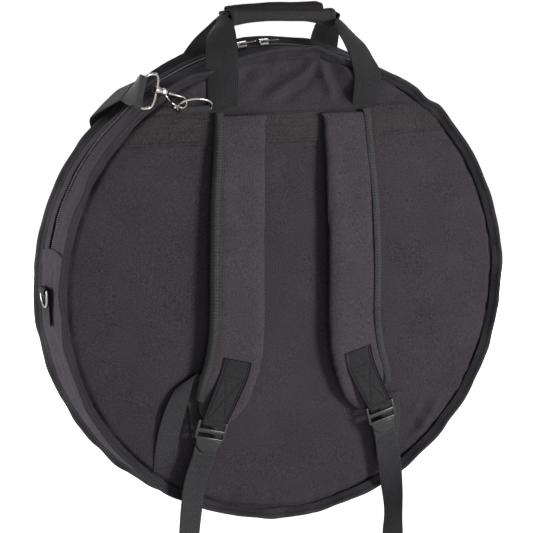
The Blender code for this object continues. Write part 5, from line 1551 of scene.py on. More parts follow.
def hook_places():
    """Base of each hook and of its frame: the top ring's hook, then the right ring's."""
    bar = Vector((TOP_LOOP_X, FRONT_Y - BAR_OUT, BAND_TOP + TOP_LOOP_RISE))
    bow = Vector((0.0, -math.sin(tilt), math.cos(tilt))) * TOP_RING_HEIGHT
    half = TOP_LOOP_WIDTH / 2.0 + RING_SIDE_GAP + RING_WIRE
    rise_share = math.sin(math.acos(TOP_CONTACT_SHARE)) ** RING_ROUNDNESS_SHARE
    contact = bar + Vector((TOP_CONTACT_SHARE * half, 0.0, 0.0)) + bow * rise_share
    left = hook_base(contact, TOP_HOOK_RUN, TOP_GATE_WAY)
    left_frame = turned_about(left, TOP_FRAME_UP, TOP_FRAME_RUN)
    hang = right_base.to_3x3() @ Vector((0.0, math.sin(lean), -math.cos(lean)))
    contact = right_base @ Vector((0.0, BAR_OUT, 0.0)) + hang * SIDE_RING_HEIGHT
    right = hook_base(contact, RIGHT_HOOK_RUN, -RIGHT)
    return (left, left_frame), (right, turned_about(right, RIGHT_FRAME_UP))


def hook_line():
    """Centre line of the hook in its own plane."""
    centre_x = BARREL_LENGTH + SHANK_LENGTH
    points = [(BARREL_LENGTH / 2.0, 0.0), (centre_x, 0.0)]
    for k in range(1, 17):
        angle = math.pi * k / 16.0
        drop = NOSE_RADIUS - NOSE_RADIUS * math.cos(angle)
        points.append((centre_x + NOSE_RADIUS * math.sin(angle), -drop))
    points.append((centre_x - NOSE_RADIUS * 0.6, -2.0 * NOSE_RADIUS))
    return points


def make_hook(suffix, base, frame_base):
    """Barrel with hook, gate and frame."""
    def at(x, z):
        return base @ Vector((x, 0.0, z))

    pivot_x = BARREL_LENGTH + GATE_PIVOT_AHEAD
    arm = [(BARREL_LENGTH / 2.0, -BARREL_RADIUS / 2.0), (BARREL_LENGTH, -BARREL_RADIUS),
           (pivot_x - GATE_ROD - CLEARANCE, GATE_PIVOT_DROP)]
    waist = BARREL_LENGTH * WAIST_SHARE
    thick = BARREL_RADIUS * 1.1
    parts = [
        rod_mesh(at(CLEARANCE, 0.0), at(waist, 0.0), BARREL_RADIUS * 0.95, thick, BARREL_SIDES, 0.0005),
        rod_mesh(at(waist, 0.0), at(BARREL_LENGTH * 1.25, 0.0), thick, HOOK_ROD * 1.2, BARREL_SIDES, 0.0004),
        wire_mesh([at(x, z) for x, z in hook_line()], HOOK_ROD),
        wire_mesh([at(x, z) for x, z in arm], GATE_ROD),
        rod_mesh(at(-BOSS_LENGTH / 2.0, 0.0), at(BARREL_LENGTH / 2.0, 0.0), HOOK_ROD, corner=ROD_CORNER),
    ]
    hook = make_object("hook_casting_" + suffix, joined(parts), NICKEL)
    dress(hook, "hook_" + suffix, "nickel", "hook_body_" + suffix)
    pivot = at(pivot_x, GATE_PIVOT_DROP)
    tip = at(pivot_x + GATE_LENGTH, -2.0 * NOSE_RADIUS)
    out = (at(0.0, -1.0) - at(0.0, 0.0)).normalized()
    middle = (pivot + tip) / 2.0
    knob = rod_mesh(middle, middle + out * KNOB_LENGTH, KNOB_RADIUS, KNOB_RADIUS * 1.15, corner=0.0004)
    gate = joined([rod_mesh(pivot, tip, GATE_ROD, corner=ROD_CORNER), knob])
    dress(make_object("gate_wire_" + suffix, gate, NICKEL), "gate_" + suffix, "nickel", "hook_gate_" + suffix)
    half_length = (FRAME_REACH - BOSS_LENGTH / 2.0) / 2.0
    points = []
    for k in range(64):
        x, z = squircle(math.tau * k / 64.0, half_length, FRAME_HALF_WIDTH, FRAME_SQUARENESS)
        points.append(frame_base @ Vector((x - FRAME_REACH - FRAME_SHIFT + half_length, 0.0, z)))
    boss = rod_mesh(at(-BOSS_LENGTH - FRAME_SHIFT, 0.0), at(0.0, 0.0), BOSS_RADIUS, corner=2.0 * ROD_CORNER)
    wire = make_object("frame_wire_" + suffix, joined([wire_mesh(points, FRAME_ROD, True), boss]), NICKEL)
    dress(wire, "bag", "nickel", "snap_frame_" + suffix)
    print("snap hook,", suffix)


hooks = hook_places()
for (suffix, side), (base, frame_base) in zip(SIDES, hooks):
    make_hook(suffix, base, frame_base)

# %% [markdown]
# The shoulder strap is clipped to the top ring and goes over the rim and down the unseen
# side, in slack curves, up to the hook on the right. Its route repeats the solid's, and it
# is folded round each frame's straight bar and sewn back on itself.
# %% Shoulder strap

STRAP_WIDTH = 0.038
STRAP_LEAD = 0.003
ADJUSTER_LENGTH = 0.022
ADJUSTER_RIM = 0.004
ADJUSTER_GAP = 0.0004
ADJUSTER_TRAVEL = 0.012
ADJUSTER_PLACE_SHARE = 0.40
STRAP_SHARES = (
    (-0.655, 0.235, 0.400, (1.0, 0.0, 0.0)),
    (-0.640, 0.280, 0.130, (0.8, 0.6, 0.0)),
    (-0.540, 0.300, -0.130, (0.1, 1.0, 0.0)),
    (-0.320, 0.300, -0.360, (0.0, 1.0, 0.0)),
    (-0.020, 0.300, -0.490, (0.0, 1.0, 0.0)),
    (0.300, 0.300, -0.530, (0.0, 1.0, 0.0)),
    (0.600, 0.300, -0.520, (0.0, 1.0, 0.05)),
    (0.860, 0.300, -0.480, (0.0, 1.0, 0.1)),
    (1.040, 0.285, -0.410, (0.0, 0.95, 0.2)),
    (1.115, 0.225, -0.305, (0.0, 0.89, 0.45)),
)


def frame_fold(frame_base, tail_way):
    """Rows of webbing folded round a frame's straight bar, ending towards the route."""
    bar = frame_base @ Vector((-FRAME_REACH - FRAME_SHIFT, 0.0, 0.0))
    across = frame_base.col[2].to_3d()
    out = -frame_base.col[0].to_3d()
    side = frame_base.col[1].to_3d()
    fold = FRAME_ROD + CLEARANCE + WEBBING_THICKNESS / 2.0
    rows = [(bar + out * fold * 2.2 - side * fold * tail_way, across, STRAP_WIDTH)]
    for k in range(13):
        angle = math.pi * k / 12.0
        point = bar - out * fold * math.sin(angle) - side * fold * tail_way * math.cos(angle)
        rows.append((point, across, STRAP_WIDTH))
    rows.append((bar + side * (fold + STRAP_LEAD) * tail_way, across, STRAP_WIDTH))
    return rows


def facing(rows, across):
    """The same rows with their across directions turned to agree with another one."""
    sign = 1.0 if rows[-1][1].dot(across) > 0.0 else -1.0
    return [(centre, way * sign, width) for centre, way, width in rows]


# Where the strap bends over the far rim it runs at a slant. A flat strip that is wound on the
# gusset, round a soft corner and down the back gives each of its points there.
WRAP_RADIUS = 0.3170
WRAP_CORNER = 0.009
WRAP_BACK = HALF_DEPTH + 0.0110
WRAP_SLANT = 55.0
WRAP_BEFORE = 0.040
WRAP_AFTER = 0.075
WRAP_ROWS = 30
SLACK_WAVE = 0.0008


def wrap_run(k):
    """How far along the wound stretch its row lies, from where it crosses the rim."""
    return -WRAP_BEFORE + (WRAP_BEFORE + WRAP_AFTER) * k / WRAP_ROWS


def wrap_point(run, aside):
    """A point of the wound strip, by its place along and across the strap."""
    slant = math.radians(WRAP_SLANT)
    across_rim = run * math.sin(slant) - aside * math.cos(slant)
    along_rim = run * math.cos(slant) + aside * math.sin(slant)
    corner_start = WRAP_BACK - WRAP_CORNER
    place = across_rim + HALF_DEPTH
    radius = WRAP_RADIUS
    y = place
    if place > corner_start:
        turn = min(math.pi / 2.0, (place - corner_start) / WRAP_CORNER)
        straight = max(0.0, place - corner_start - WRAP_CORNER * math.pi / 2.0)
        radius -= WRAP_CORNER * (1.0 - math.cos(turn)) + straight
        y = corner_start + WRAP_CORNER * math.sin(turn)
    degrees = STRAP_CROSSING + math.degrees(along_rim / WRAP_RADIUS)
    return polar(radius, degrees, y)


def wrap_rows():
    """Plain rows through the wound stretch, for its neighbours and normals."""
    rows = []
    for k in range(WRAP_ROWS + 1):
        left = wrap_point(wrap_run(k), -STRAP_WIDTH / 2.0)
        right = wrap_point(wrap_run(k), STRAP_WIDTH / 2.0)
        rows.append(((left + right) / 2.0, (right - left).normalized(), STRAP_WIDTH))
    return rows


def strap_middle(first, last, steps):
    """The strap after its wound stretch, straight and flat where the adjuster slides."""
    route = [(Vector((x, y, z)) * DISC_RADIUS, Vector(way).normalized(), STRAP_WIDTH)
             for x, y, z, way in STRAP_SHARES]
    return smooth_rows([first[-1]] + route + [last[-1]], steps)


def adjuster_spot(rows):
    """The row that the adjuster sits on: its index, place, way across and way along."""
    index = int(len(rows) * ADJUSTER_PLACE_SHARE)
    here, across, width = rows[index]
    ahead = (rows[index + 1][0] - rows[index - 1][0]).normalized()
    across = (across - ahead * across.dot(ahead)).normalized()
    return index, here, across, ahead


wound = wrap_rows()
first = facing(frame_fold(hooks[0][1], 1.0), wound[0][1])
last = facing(frame_fold(hooks[1][1], -1.0), Vector(STRAP_SHARES[-1][3]))
lead = smooth_rows([first[-2], first[-1], wound[0], wound[1]], 8)[8:-8]
coarse = strap_middle(facing([wound[-1]], Vector(STRAP_SHARES[0][3])), last, 4)
index, here, across, ahead = adjuster_spot(coarse)
reach = ADJUSTER_LENGTH / 2.0 + ADJUSTER_TRAVEL + ADJUSTER_GAP
stretch = [(here + ahead * share * reach, across, STRAP_WIDTH) for share in (-1.0, -0.5, 0.0, 0.5, 1.0)]
wound_start = len(first) - 1 + len(lead)
strap_rows = first[:-1] + lead + wound + smooth_rows(coarse[1:index - 1], 3)
strap_rows += stretch + smooth_rows(coarse[index + 2:-1], 3) + last[::-1]


def strap_place(i, side):
    """The wound stretch's own points; elsewhere the plain rows are used."""
    k = i - wound_start
    if 0 <= k <= WRAP_ROWS:
        return wrap_point(wrap_run(k), side * STRAP_WIDTH / 2.0)
    return None


strap = ribbon("shoulder_strap_band", strap_rows, STRAP_WEBBING_WITH_PAINTED_LIGHT, wave=SLACK_WAVE, place=strap_place)
dress(strap, "bag", "webbing", "shoulder_strap_webbing")
print("shoulder strap", round(rows_length(strap_rows), 3), "m long")

# %% Slide adjuster

adjuster_place = axes_matrix(here, across, ahead.cross(across), ahead)
inner_x = STRAP_WIDTH + 2.0 * ADJUSTER_GAP
inner_y = WEBBING_THICKNESS + 2.0 * ADJUSTER_GAP
bars = []
for z_share in (-0.5, -0.02, 0.5):
    for side in (-1.0, 1.0):
        z = z_share * (ADJUSTER_LENGTH - ADJUSTER_RIM)
        spot = Vector((0.0, side * (inner_y / 2.0 + WEBBING_THICKNESS / 2.0), z))
        size = Vector((inner_x + 2.0 * ADJUSTER_RIM, WEBBING_THICKNESS, ADJUSTER_RIM))
        bars.append(box_mesh(size, adjuster_place @ Matrix.Translation(spot), 0.0006))
for side in (-1.0, 1.0):
    spot = Vector((side * (inner_x + ADJUSTER_RIM) / 2.0, 0.0, 0.0))
    size = Vector((ADJUSTER_RIM, inner_y + 2.0 * WEBBING_THICKNESS, ADJUSTER_LENGTH))
    bars.append(box_mesh(size, adjuster_place @ Matrix.Translation(spot), 0.0012))
slide = make_object("slide_adjuster", joined(bars), BUCKLE_PLASTIC)
dress(slide, "strap_adjuster", "buckle", "strap_adjuster")
print("slide adjuster of", len(bars), "bars")

# %% [markdown]
# The backpack pads are foam cores in cloth, bound with tape on their outer edges. A closed
# tube with a rounded-rectangle section is puffed up by a short cloth simulation, which gives
# the crown and small creases of a real pad. The tape and the tabs go on after it.
# %% Pad routes

PAD_THICKNESS = 0.011
PAD_TOP_WIDTH = 0.068
PAD_EDGE_TAPE = 0.010
PAD_SHARES = (
    (0.228, 0.745, 0.028, 1.00),
    (0.238, 0.560, 0.110, 1.01),
    (0.250, 0.350, 0.170, 1.06),
    (0.256, 0.120, 0.205, 1.09),
    (0.258, -0.130, 0.205, 1.10),
    (0.276, -0.290, 0.185, 1.12),
    (0.312, -0.400, 0.150, 1.10),
    (0.340, -0.480, 0.100, 0.95),
    (0.362, -0.550, 0.085, 0.50),
)


def rightwards(way):
    """The same line, pointing to the right."""
    return -way if way.x < 0.0 else way


def pad_rows(side, steps):
    """Rows through the middle of the pad's thickness."""
    rows = []
    for x_share, z_share, off_share, width_share in PAD_SHARES:
        centre = Vector((side * x_share * DISC_RADIUS,
                         FRONT_Y - off_share * DEPTH - PAD_THICKNESS / 2.0, z_share * DISC_RADIUS))
        rows.append((centre, RIGHT, PAD_TOP_WIDTH * width_share))
    out = []
    for i, (centre, across, width) in enumerate(rows):
        run = (rows[min(i + 1, len(rows) - 1)][0] - rows[max(i - 1, 0)][0]).normalized()
        flat = rightwards(Vector((-run.z, 0.0, run.x)).normalized())
        out.append((centre, across if i == 0 else flat, width))
    return smooth_rows(out, steps)


# %% Puffing a pad

PUFF_VOXEL = 0.0045
PUFF_PRESSURE = 4.0
PUFF_FRAMES = 20
PUFF_CAP = 0.0018
PUFF_MASS = 0.2
PUFF_STIFFNESS = 12.0
PUFF_BENDING = 0.3


def applied(obj):
    """Turn an object's modifiers into its mesh."""
    bpy.context.view_layer.update()
    seen = obj.evaluated_get(bpy.context.evaluated_depsgraph_get())
    mesh = bpy.data.meshes.new_from_object(seen)
    old = obj.data
    obj.modifiers.clear()
    obj.data = mesh
    bpy.data.meshes.remove(old)


def puff(obj):
    """Remesh a closed form, blow it up a little as cloth and keep the result."""
    remesh = obj.modifiers.new("remesh", "REMESH")
    remesh.mode = "VOXEL"
    remesh.voxel_size = PUFF_VOXEL
    applied(obj)
    before = [vert.co.copy() for vert in obj.data.vertices]
    cloth_mod = obj.modifiers.new("cloth", "CLOTH")
    settings = cloth_mod.settings
    settings.quality = 6
    settings.mass = PUFF_MASS
    settings.tension_stiffness = PUFF_STIFFNESS
    settings.compression_stiffness = PUFF_STIFFNESS
    settings.bending_stiffness = PUFF_BENDING
    settings.use_pressure = True
    settings.uniform_pressure_force = PUFF_PRESSURE
    settings.effector_weights.gravity = 0.0
    cloth_mod.point_cache.frame_start = 1
    cloth_mod.point_cache.frame_end = PUFF_FRAMES
    for number in range(1, PUFF_FRAMES + 1):
        scene.frame_set(number)
    applied(obj)
    scene.frame_set(1)
    for vert, old in zip(obj.data.vertices, before):
        moved = vert.co - old
        if moved.length > PUFF_CAP:
            vert.co = old + moved.normalized() * PUFF_CAP
    obj.data.shade_smooth()
    print(obj.name, "puffed,", len(obj.data.vertices), "points")


def flat_uv(obj, along, across):
    """A UV map in metres by looking straight at the piece."""
    layer = obj.data.uv_layers.get("metres") or obj.data.uv_layers.new(name="metres")
    for loop in obj.data.loops:
        co = obj.data.vertices[loop.vertex_index].co
        layer.data[loop.index].uv = (co[across], co[along])


def add_subdivision(obj, levels):
    """Smooth a mesh by subdivision, the same in view and render."""
    mod = obj.modifiers.new("smooth", "SUBSURF")
    mod.levels = levels
    mod.render_levels = levels


# %% Pads

PAD_SHRINK = 0.0016
PAD_TOP_PINCH = 0.55
PAD_PINCH_END = 0.05
PAD_POWER = 5.0
PAD_SEED = 70.0
FRONT_TURN_SHARE = 0.3
PAD_FOLDS = {
    "left": ((((-0.098, 0.148), (-0.080, 0.131), (-0.062, 0.118)), 0.0060, -0.0014),
             (((-0.090, 0.112), (-0.076, 0.098), (-0.066, 0.086)), 0.0070, -0.0012),
             (((-0.100, 0.020), (-0.082, 0.006), (-0.070, -0.004)), 0.0090, -0.0008)),
    "right": ((((0.062, 0.060), (0.078, 0.044), (0.096, 0.036)), 0.0080, -0.0010),
              (((0.052, -0.020), (0.070, -0.030), (0.086, -0.026)), 0.0080, -0.0010)),
}


def make_pad(suffix, side):
    """One padded strap."""
    rows = pad_rows(side, 10)
    last = len(rows) - 1

    def place(u, v):
        centre, across, width = rows[round(v * last)]
        thin = 1.0 - PAD_TOP_PINCH * (1.0 - smooth_step(0.0, PAD_PINCH_END, v))
        half = (PAD_THICKNESS - PAD_SHRINK) / 2.0
        a, b = squircle(math.tau * u, width / 2.0 - PAD_SHRINK, half * thin, PAD_POWER)
        return centre + across * a - BACKWARD * b

    bm = closed(grid_sheet(44, last, place, (0.15, rows_length(rows)), POLE_MERGE))
    pad = make_object("pad_cushion_" + suffix, bm, PAD_CLOTH)
    puff(pad)
    for vert in pad.data.vertices:
        x = vert.co.x
        z = vert.co.z - CENTRE.z
        if vert.normal.y < FRONT_TURN_SHARE:
            folds = sum(fold_height(x, z, *fold) for fold in PAD_FOLDS[suffix])
            vert.co.y -= wander(x, PAD_SEED + side, z, 24.0, 0.0012) + folds
    flat_uv(pad, 2, 0)
    add_subdivision(pad, 1)
    dress(pad, "backpack_strap_" + suffix, "padding", "backpack_pad_" + suffix)
    print("pad", suffix, round(rows_length(rows), 3), "m long")
    return rows


pads = {suffix: make_pad(suffix, side) for suffix, side in SIDES}

# %% [markdown]
# The tape on a pad's outer edge wraps the edge like the binding of the rim does: in front, a
# centimetre of coarse tape with a sewn inner edge; at the side, a rounded fold; behind, the
# same again. Its section is traced by a line and follows the pad's rows.
# %% Pad tapes

TAPE_THICKNESS = 0.0012
TAPE_EDGE = 0.0003
TAPE_END_SHARE = 0.86
TAPE_SKIN = 0.0004
TAPE_BEND = 0.0035
TAPE_WIDTH = 0.030
TAPE_PINCH = PAD_TOP_PINCH * 0.6
TAPE_THREAD_LIFT = 0.0007
# Where the rows of thread run across each tape: both on the front at the right, one behind at
# the left.
TAPE_THREADS = {"left": (0.04, 0.96), "right": (0.04, 0.10)}


def tape_section(u):
    """How far in from the pad's edge, and how far in front of its middle."""
    half = PAD_THICKNESS / 2.0 + TAPE_SKIN
    straight = PAD_EDGE_TAPE - TAPE_BEND
    length = 2.0 * straight + math.pi * half
    walk = u * length
    if walk < straight:
        return PAD_EDGE_TAPE - walk, half
    if walk > length - straight:
        return TAPE_BEND + (walk - length + straight), -half
    angle = (walk - straight) / half
    return TAPE_BEND * (1.0 - math.sin(angle)), half * math.cos(angle)


def tape_point(rows, side, u, v, lift=0.0):
    """A place on the tape of one pad."""
    centre, across, width = row_at(rows, v * TAPE_END_SHARE)
    thin = 1.0 - TAPE_PINCH * (1.0 - smooth_step(0.0, PAD_PINCH_END, v * TAPE_END_SHARE))
    inset, ahead = tape_section(u)
    uneven = wander(centre.x, 80.0, centre.z, 18.0, 0.0008)
    edge = centre + across * side * (width / 2.0 - inset + TAPE_SKIN + uneven)
    return edge - BACKWARD * (ahead + math.copysign(lift, ahead)) * thin


def make_pad_tape(suffix, side):
    """The tape of one pad and its thread."""
    rows = pads[suffix]
    size = (TAPE_WIDTH, rows_length(rows) * TAPE_END_SHARE)
    bm = grid_sheet(16, 160, lambda u, v: tape_point(rows, side, u, v), size)
    tape = make_object("pad_tape_" + suffix, bm, PAD_TAPE)
    thicken(tape, TAPE_THICKNESS, 0.0, TAPE_EDGE)
    dress(tape, "backpack_strap_" + suffix, "binding", "pad_binding_" + suffix)
    runs = []
    for u in TAPE_THREADS[suffix]:
        runs.append([tape_point(rows, side, u, k / 200.0, TAPE_THREAD_LIFT) for k in range(201)])
    stitch_piece("pad_tape_stitches_" + suffix, runs, "backpack_strap_" + suffix)
    print("pad tape", suffix, round(size[1], 3), "m long")


for suffix, side in SIDES:
    make_pad_tape(suffix, side)

# %% [markdown]
# A webbing tab is sewn to the lower end of each pad and folded round the buckle's top bar.
# The buckle is a ladder lock: two rails, bars across them and a rounded tongue to pull. All
# its parts are rounded, because sharp plastic would cut the webbing.
# %% Tabs

LOAD_WIDTH = 0.030
SURFACE_GAP = 0.0005
TAB_TOP_Z = -0.0815
TAB_TOP_WIDTH = 0.0345
TAB_COLUMNS = 40
TAB_ROWS = 24
TAB_BOX_START = 0.46
TAB_BOX_END = 0.97
TAB_THREAD_START = 0.02
TAB_INSET = 0.08
TAB_PRESS = 0.0008
TAB_PRESS_REACH = 0.0014
TAB_THREAD_LIFT = 0.0003
TAB_EDGE_WIRE_RADIUS = 0.0009
TAB_EDGE_WIRE_OUT = 0.03
TAB_EDGE_WIRE_STEPS = 30
LOCK_WIDTH = 0.040
LOCK_LENGTH = 0.044
LOCK_THICKNESS = 0.004
LOCK_TONGUE = 0.0165
LOCK_TONGUE_TILT = {"left": 3.0, "right": 7.0}
LOCK_BAR = 0.004
LOCK_SLOT = 0.006
LOCK_RUNG = 0.006
LOCK_LEAN = 15.0
LOCK_TOP_X = 0.1135
LOCK_TOP_Z = -0.158
LOCK_FRONT = 0.0232
TAIL_END_Z = -0.400


def lock_base(side):
    """Placing of a buckle: x across it, y away from the bag, z up along the strap."""
    tip = math.radians(LOCK_LEAN)
    up = Vector((-side * math.sin(tip), 0.0, math.cos(tip)))
    outward = Vector((0.0, -1.0, 0.0))
    top = Vector((side * LOCK_TOP_X, FRONT_Y - LOCK_FRONT, LOCK_TOP_Z))
    return axes_matrix(top, outward.cross(up), outward, up)


def row_at_height(rows, z):
    """The row of a pad at a height."""
    for upper, lower in zip(rows, rows[1:]):
        if lower[0].z <= z <= upper[0].z:
            t = (upper[0].z - z) / (upper[0].z - lower[0].z)
            return upper[0].lerp(lower[0], t)
    return rows[-1][0]


def tab_rows(side, rows):
    """Webbing on the pad's face, folded round the buckle's top bar."""
    base = lock_base(side)
    across = base.col[0].to_3d()
    lift = PAD_THICKNESS / 2.0 + SURFACE_GAP + WEBBING_THICKNESS / 2.0
    out = []
    for z in (TAB_TOP_Z, (TAB_TOP_Z * 2.0 + LOCK_TOP_Z) / 3.0):
        out.append((row_at_height(rows, z) - BACKWARD * lift, across, TAB_TOP_WIDTH))
    fold = LOCK_BAR * math.sqrt(0.5) + CLEARANCE + WEBBING_THICKNESS / 2.0
    out.append((base @ Vector((0.0, fold, 0.0)), across, LOAD_WIDTH))
    out = smooth_rows(out, TAB_ROWS)[:-1]
    for k in range(17):
        angle = math.pi * k / 16.0
        spot = Vector((0.0, fold * math.cos(angle), -fold * math.sin(angle)))
        out.append((base @ spot, across, LOAD_WIDTH))
    out.append((base @ Vector((0.0, -fold, fold)), across, LOAD_WIDTH))
    return out


def outer_sign(rows):
    """1 where a row's normal points away from the bag, otherwise -1."""
    return 1.0 if row_normal(rows, 2).y < 0.0 else -1.0


def make_tab(suffix, side):
    """One tab: webbing pressed in where it is sewn, its thread and a thin dark wire round its edge."""
    body = "backpack_strap_" + suffix
    rows = tab_rows(side, pads[suffix])
    flat_rows = 2 * TAB_ROWS - 1
    flat_end = flat_rows / (len(rows) - 1)
    length = rows_length(rows)
    sign = outer_sign(rows)
    low = TAB_INSET * LOAD_WIDTH
    high = LOAD_WIDTH - low
    start = flat_end * TAB_BOX_START
    end = flat_end * TAB_BOX_END
    lines = box_lines(low, high, start * length, end * length)
    lines += [((edge, 0.0), (edge, end * length)) for edge in (low, high)]

    def pressed(i, across_share):
        if i > flat_rows:
            return None
        spot = ((across_share + 1.0) / 2.0 * LOAD_WIDTH, i / (len(rows) - 1) * length)
        gap = min(line_gap(spot, *line)[0] for line in lines)
        depth = sign * TAB_PRESS * hill(gap, TAB_PRESS_REACH)
        centre, across, width = rows[i]
        return centre + across * across_share * width / 2.0 - row_normal(rows, i) * depth

    tab = ribbon("tab_band_" + suffix, rows, BLACK_WEBBING, columns=TAB_COLUMNS, place=pressed)
    dress(tab, body, "webbing", "pad_tab_" + suffix)
    lift = sign * (WEBBING_THICKNESS / 2.0 - TAB_PRESS + TAB_THREAD_LIFT)

    def thread(u, v):
        return ribbon_point(rows, u, v, lift)

    runs = box_cross(rows, start, end, TAB_INSET, lift)
    for u in (TAB_INSET, 1.0 - TAB_INSET):
        runs.append(straight_run(thread, (u, TAB_THREAD_START), (u, flat_end), flat_rows - 1))
    runs.append(straight_run(thread, (TAB_INSET, TAB_THREAD_START), (1.0 - TAB_INSET, TAB_THREAD_START)))
    stitch_piece("tab_stitches_" + suffix, runs, body)
    # A thin dark wire runs along both long edges and the top of the tab.
    edge_wire = []
    for u, first, last in ((-TAB_EDGE_WIRE_OUT, flat_end, 0.0), (1.0 + TAB_EDGE_WIRE_OUT, 0.0, flat_end)):
        edge_wire += straight_run(lambda a, b: ribbon_point(rows, a, b), (u, first), (u, last), TAB_EDGE_WIRE_STEPS)
    dress(make_object("tab_edge_wire_" + suffix, wire_mesh(edge_wire, TAB_EDGE_WIRE_RADIUS), THREAD), body, "webbing")
    print("tab", suffix, round(length, 3), "m long")


for suffix, side in SIDES:
    make_tab(suffix, side)

# %% Buckles

RAIL_WIDTH = LOCK_BAR * 0.95
RAIL_THICKNESS = LOCK_THICKNESS * 1.15
RAIL_CORNER = 0.0013
BAR_CORNER = 0.0016
TONGUE_CORNER = 0.0011
TONGUE_THICKNESS = LOCK_THICKNESS * 0.7
LOWEST_RUNG = LOCK_RUNG * 0.8
LOWEST_RUNG_RISE = 0.001


def tongue_mesh():
    """Half a disc, its straight edge at the origin, with rounded edges."""
    bm = bmesh.new()
    bmesh.ops.create_circle(bm, cap_ends=True, segments=64, radius=LOCK_TONGUE)
    bmesh.ops.bisect_plane(bm, geom=bm.verts[:] + bm.edges[:] + bm.faces[:],
                           plane_co=(0.0, 0.0, 0.0), plane_no=BACKWARD, clear_outer=True)
    grown = bmesh.ops.extrude_face_region(bm, geom=bm.faces[:])["geom"]
    moved = [item for item in grown if isinstance(item, bmesh.types.BMVert)]
    bmesh.ops.translate(bm, verts=moved, vec=UP * TONGUE_THICKNESS)
    bmesh.ops.recalc_face_normals(bm, faces=bm.faces)
    return bevel_all(bm, TONGUE_CORNER, 3)


def make_lock(suffix, side):
    """Rails, bars and tongue of one ladder lock."""
    base = lock_base(side)
    half = LOCK_WIDTH / 2.0
    straight = LOCK_LENGTH - half
    foot = LOCK_BAR / 2.0 - straight
    parts = []
    for edge in (-1.0, 1.0):
        spot = Vector((edge * (half - RAIL_WIDTH / 2.0), 0.0, LOCK_BAR / 2.0 - straight / 2.0))
        size = Vector((RAIL_WIDTH, RAIL_THICKNESS, straight))
        parts.append(box_mesh(size, base @ Matrix.Translation(spot), RAIL_CORNER))
    for z, depth in ((0.0, LOCK_BAR), (-LOCK_BAR / 2.0 - LOCK_SLOT - LOCK_RUNG / 2.0, LOCK_RUNG),
                     (foot + LOWEST_RUNG_RISE, LOWEST_RUNG)):
        size = Vector((LOCK_WIDTH - RAIL_WIDTH, LOCK_THICKNESS, depth))
        parts.append(box_mesh(size, base @ Matrix.Translation(UP * z), BAR_CORNER))
    tongue = tongue_mesh()
    turn = Matrix.Rotation(math.radians(90.0 - LOCK_TONGUE_TILT[suffix]), 4, "X")
    stand = Matrix.Translation((0.0, -TONGUE_THICKNESS / 2.0, foot)) @ turn
    stand = stand @ Matrix.Translation(-UP * TONGUE_THICKNESS)
    bmesh.ops.transform(tongue, matrix=base @ stand, verts=tongue.verts)
    lock = make_object("buckle_" + suffix, joined(parts + [tongue]), BUCKLE_PLASTIC)
    dress(lock, "ladder_lock_" + suffix, "buckle", "ladder_lock_" + suffix)
    print("buckle", suffix, len(lock.data.polygons), "faces")


for suffix, side in SIDES:
    make_lock(suffix, side)

# %% [markdown]
# The load webbings start in a sewn box near the lower rim, loop up behind the pads and come
# down to the buckles, and their loose tails hang below. A load webbing crosses from the bag
# to the moving strap; a tail bends where it leaves the buckle.
# %% Load webbings

LOAD_SHARES = {
    "left": ((0.572, -0.725, 0.016, (1.0, 0.0, 0.25)), (0.566, -0.660, 0.030, (1.0, 0.0, 0.2)),
             (0.552, -0.560, 0.090, (1.0, -0.05, 0.15)), (0.528, -0.460, 0.150, (0.95, -0.1, 0.25)),
             (0.500, -0.385, 0.160, (0.85, -0.15, 0.45)), (0.474, -0.352, 0.130, (0.8, -0.12, 0.5)),
             (0.444, -0.395, 0.085, (0.95, -0.04, 0.25)), (0.418, -0.470, 0.070, (1.0, 0.0, 0.12)),
             (0.408, -0.560, 0.065, (1.0, 0.0, 0.1)), (0.404, -0.605, 0.110, (1.0, 0.0, 0.1))),
    "right": ((0.450, -0.805, 0.016, (1.0, 0.0, -0.3)), (0.455, -0.740, 0.020, (1.0, 0.0, -0.2)),
              (0.468, -0.630, 0.026, (1.0, 0.0, -0.1)), (0.466, -0.545, 0.036, (1.0, 0.0, 0.0)),
              (0.458, -0.500, 0.052, (1.0, 0.0, 0.05)), (0.436, -0.530, 0.062, (1.0, 0.0, 0.1)),
              (0.416, -0.605, 0.085, (1.0, 0.0, 0.1))),
}
ANCHOR_BOX = (0.01, 0.10)
ANCHOR_INSET = 0.10


def load_rows(suffix, side):
    """Rows from the anchor on the face to the back of the buckle."""
    rows = []
    for x_share, z_share, off_share, way in LOAD_SHARES[suffix]:
        x = side * x_share * DISC_RADIUS
        z = z_share * DISC_RADIUS
        stand = max(off_share * DEPTH, WEBBING_THICKNESS / 2.0 + CLEARANCE + max(0.0, relief(x, z)))
        rows.append((Vector((x, FRONT_Y - stand, z)), Vector(way).normalized(), LOAD_WIDTH))
    base = lock_base(side)
    rung = -(LOCK_BAR / 2.0 + 2.0 * LOCK_SLOT + 2.0 * LOCK_RUNG)
    behind = -(LOCK_THICKNESS / 2.0 + WEBBING_THICKNESS / 2.0 + CLEARANCE * 2.0)
    across = rightwards(base.col[0].to_3d())
    rows.append((base @ Vector((0.0, behind, rung)), across, LOAD_WIDTH))
    return smooth_rows(rows, 10)


for suffix, side in SIDES:
    rows = load_rows(suffix, side)
    load = ribbon("load_band_" + suffix, rows, STRAP_WEBBING_WITH_PAINTED_LIGHT)
    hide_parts("load_webbing_" + suffix)
    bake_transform(load)
    lift = outer_sign(rows) * (WEBBING_THICKNESS / 2.0 + THREAD_LIFT)
    stitch_piece("anchor_stitches_" + suffix, box_cross(rows, *ANCHOR_BOX, ANCHOR_INSET, lift), "bag")
    print("load webbing", suffix, round(rows_length(rows), 3), "m long")

# %% Tails

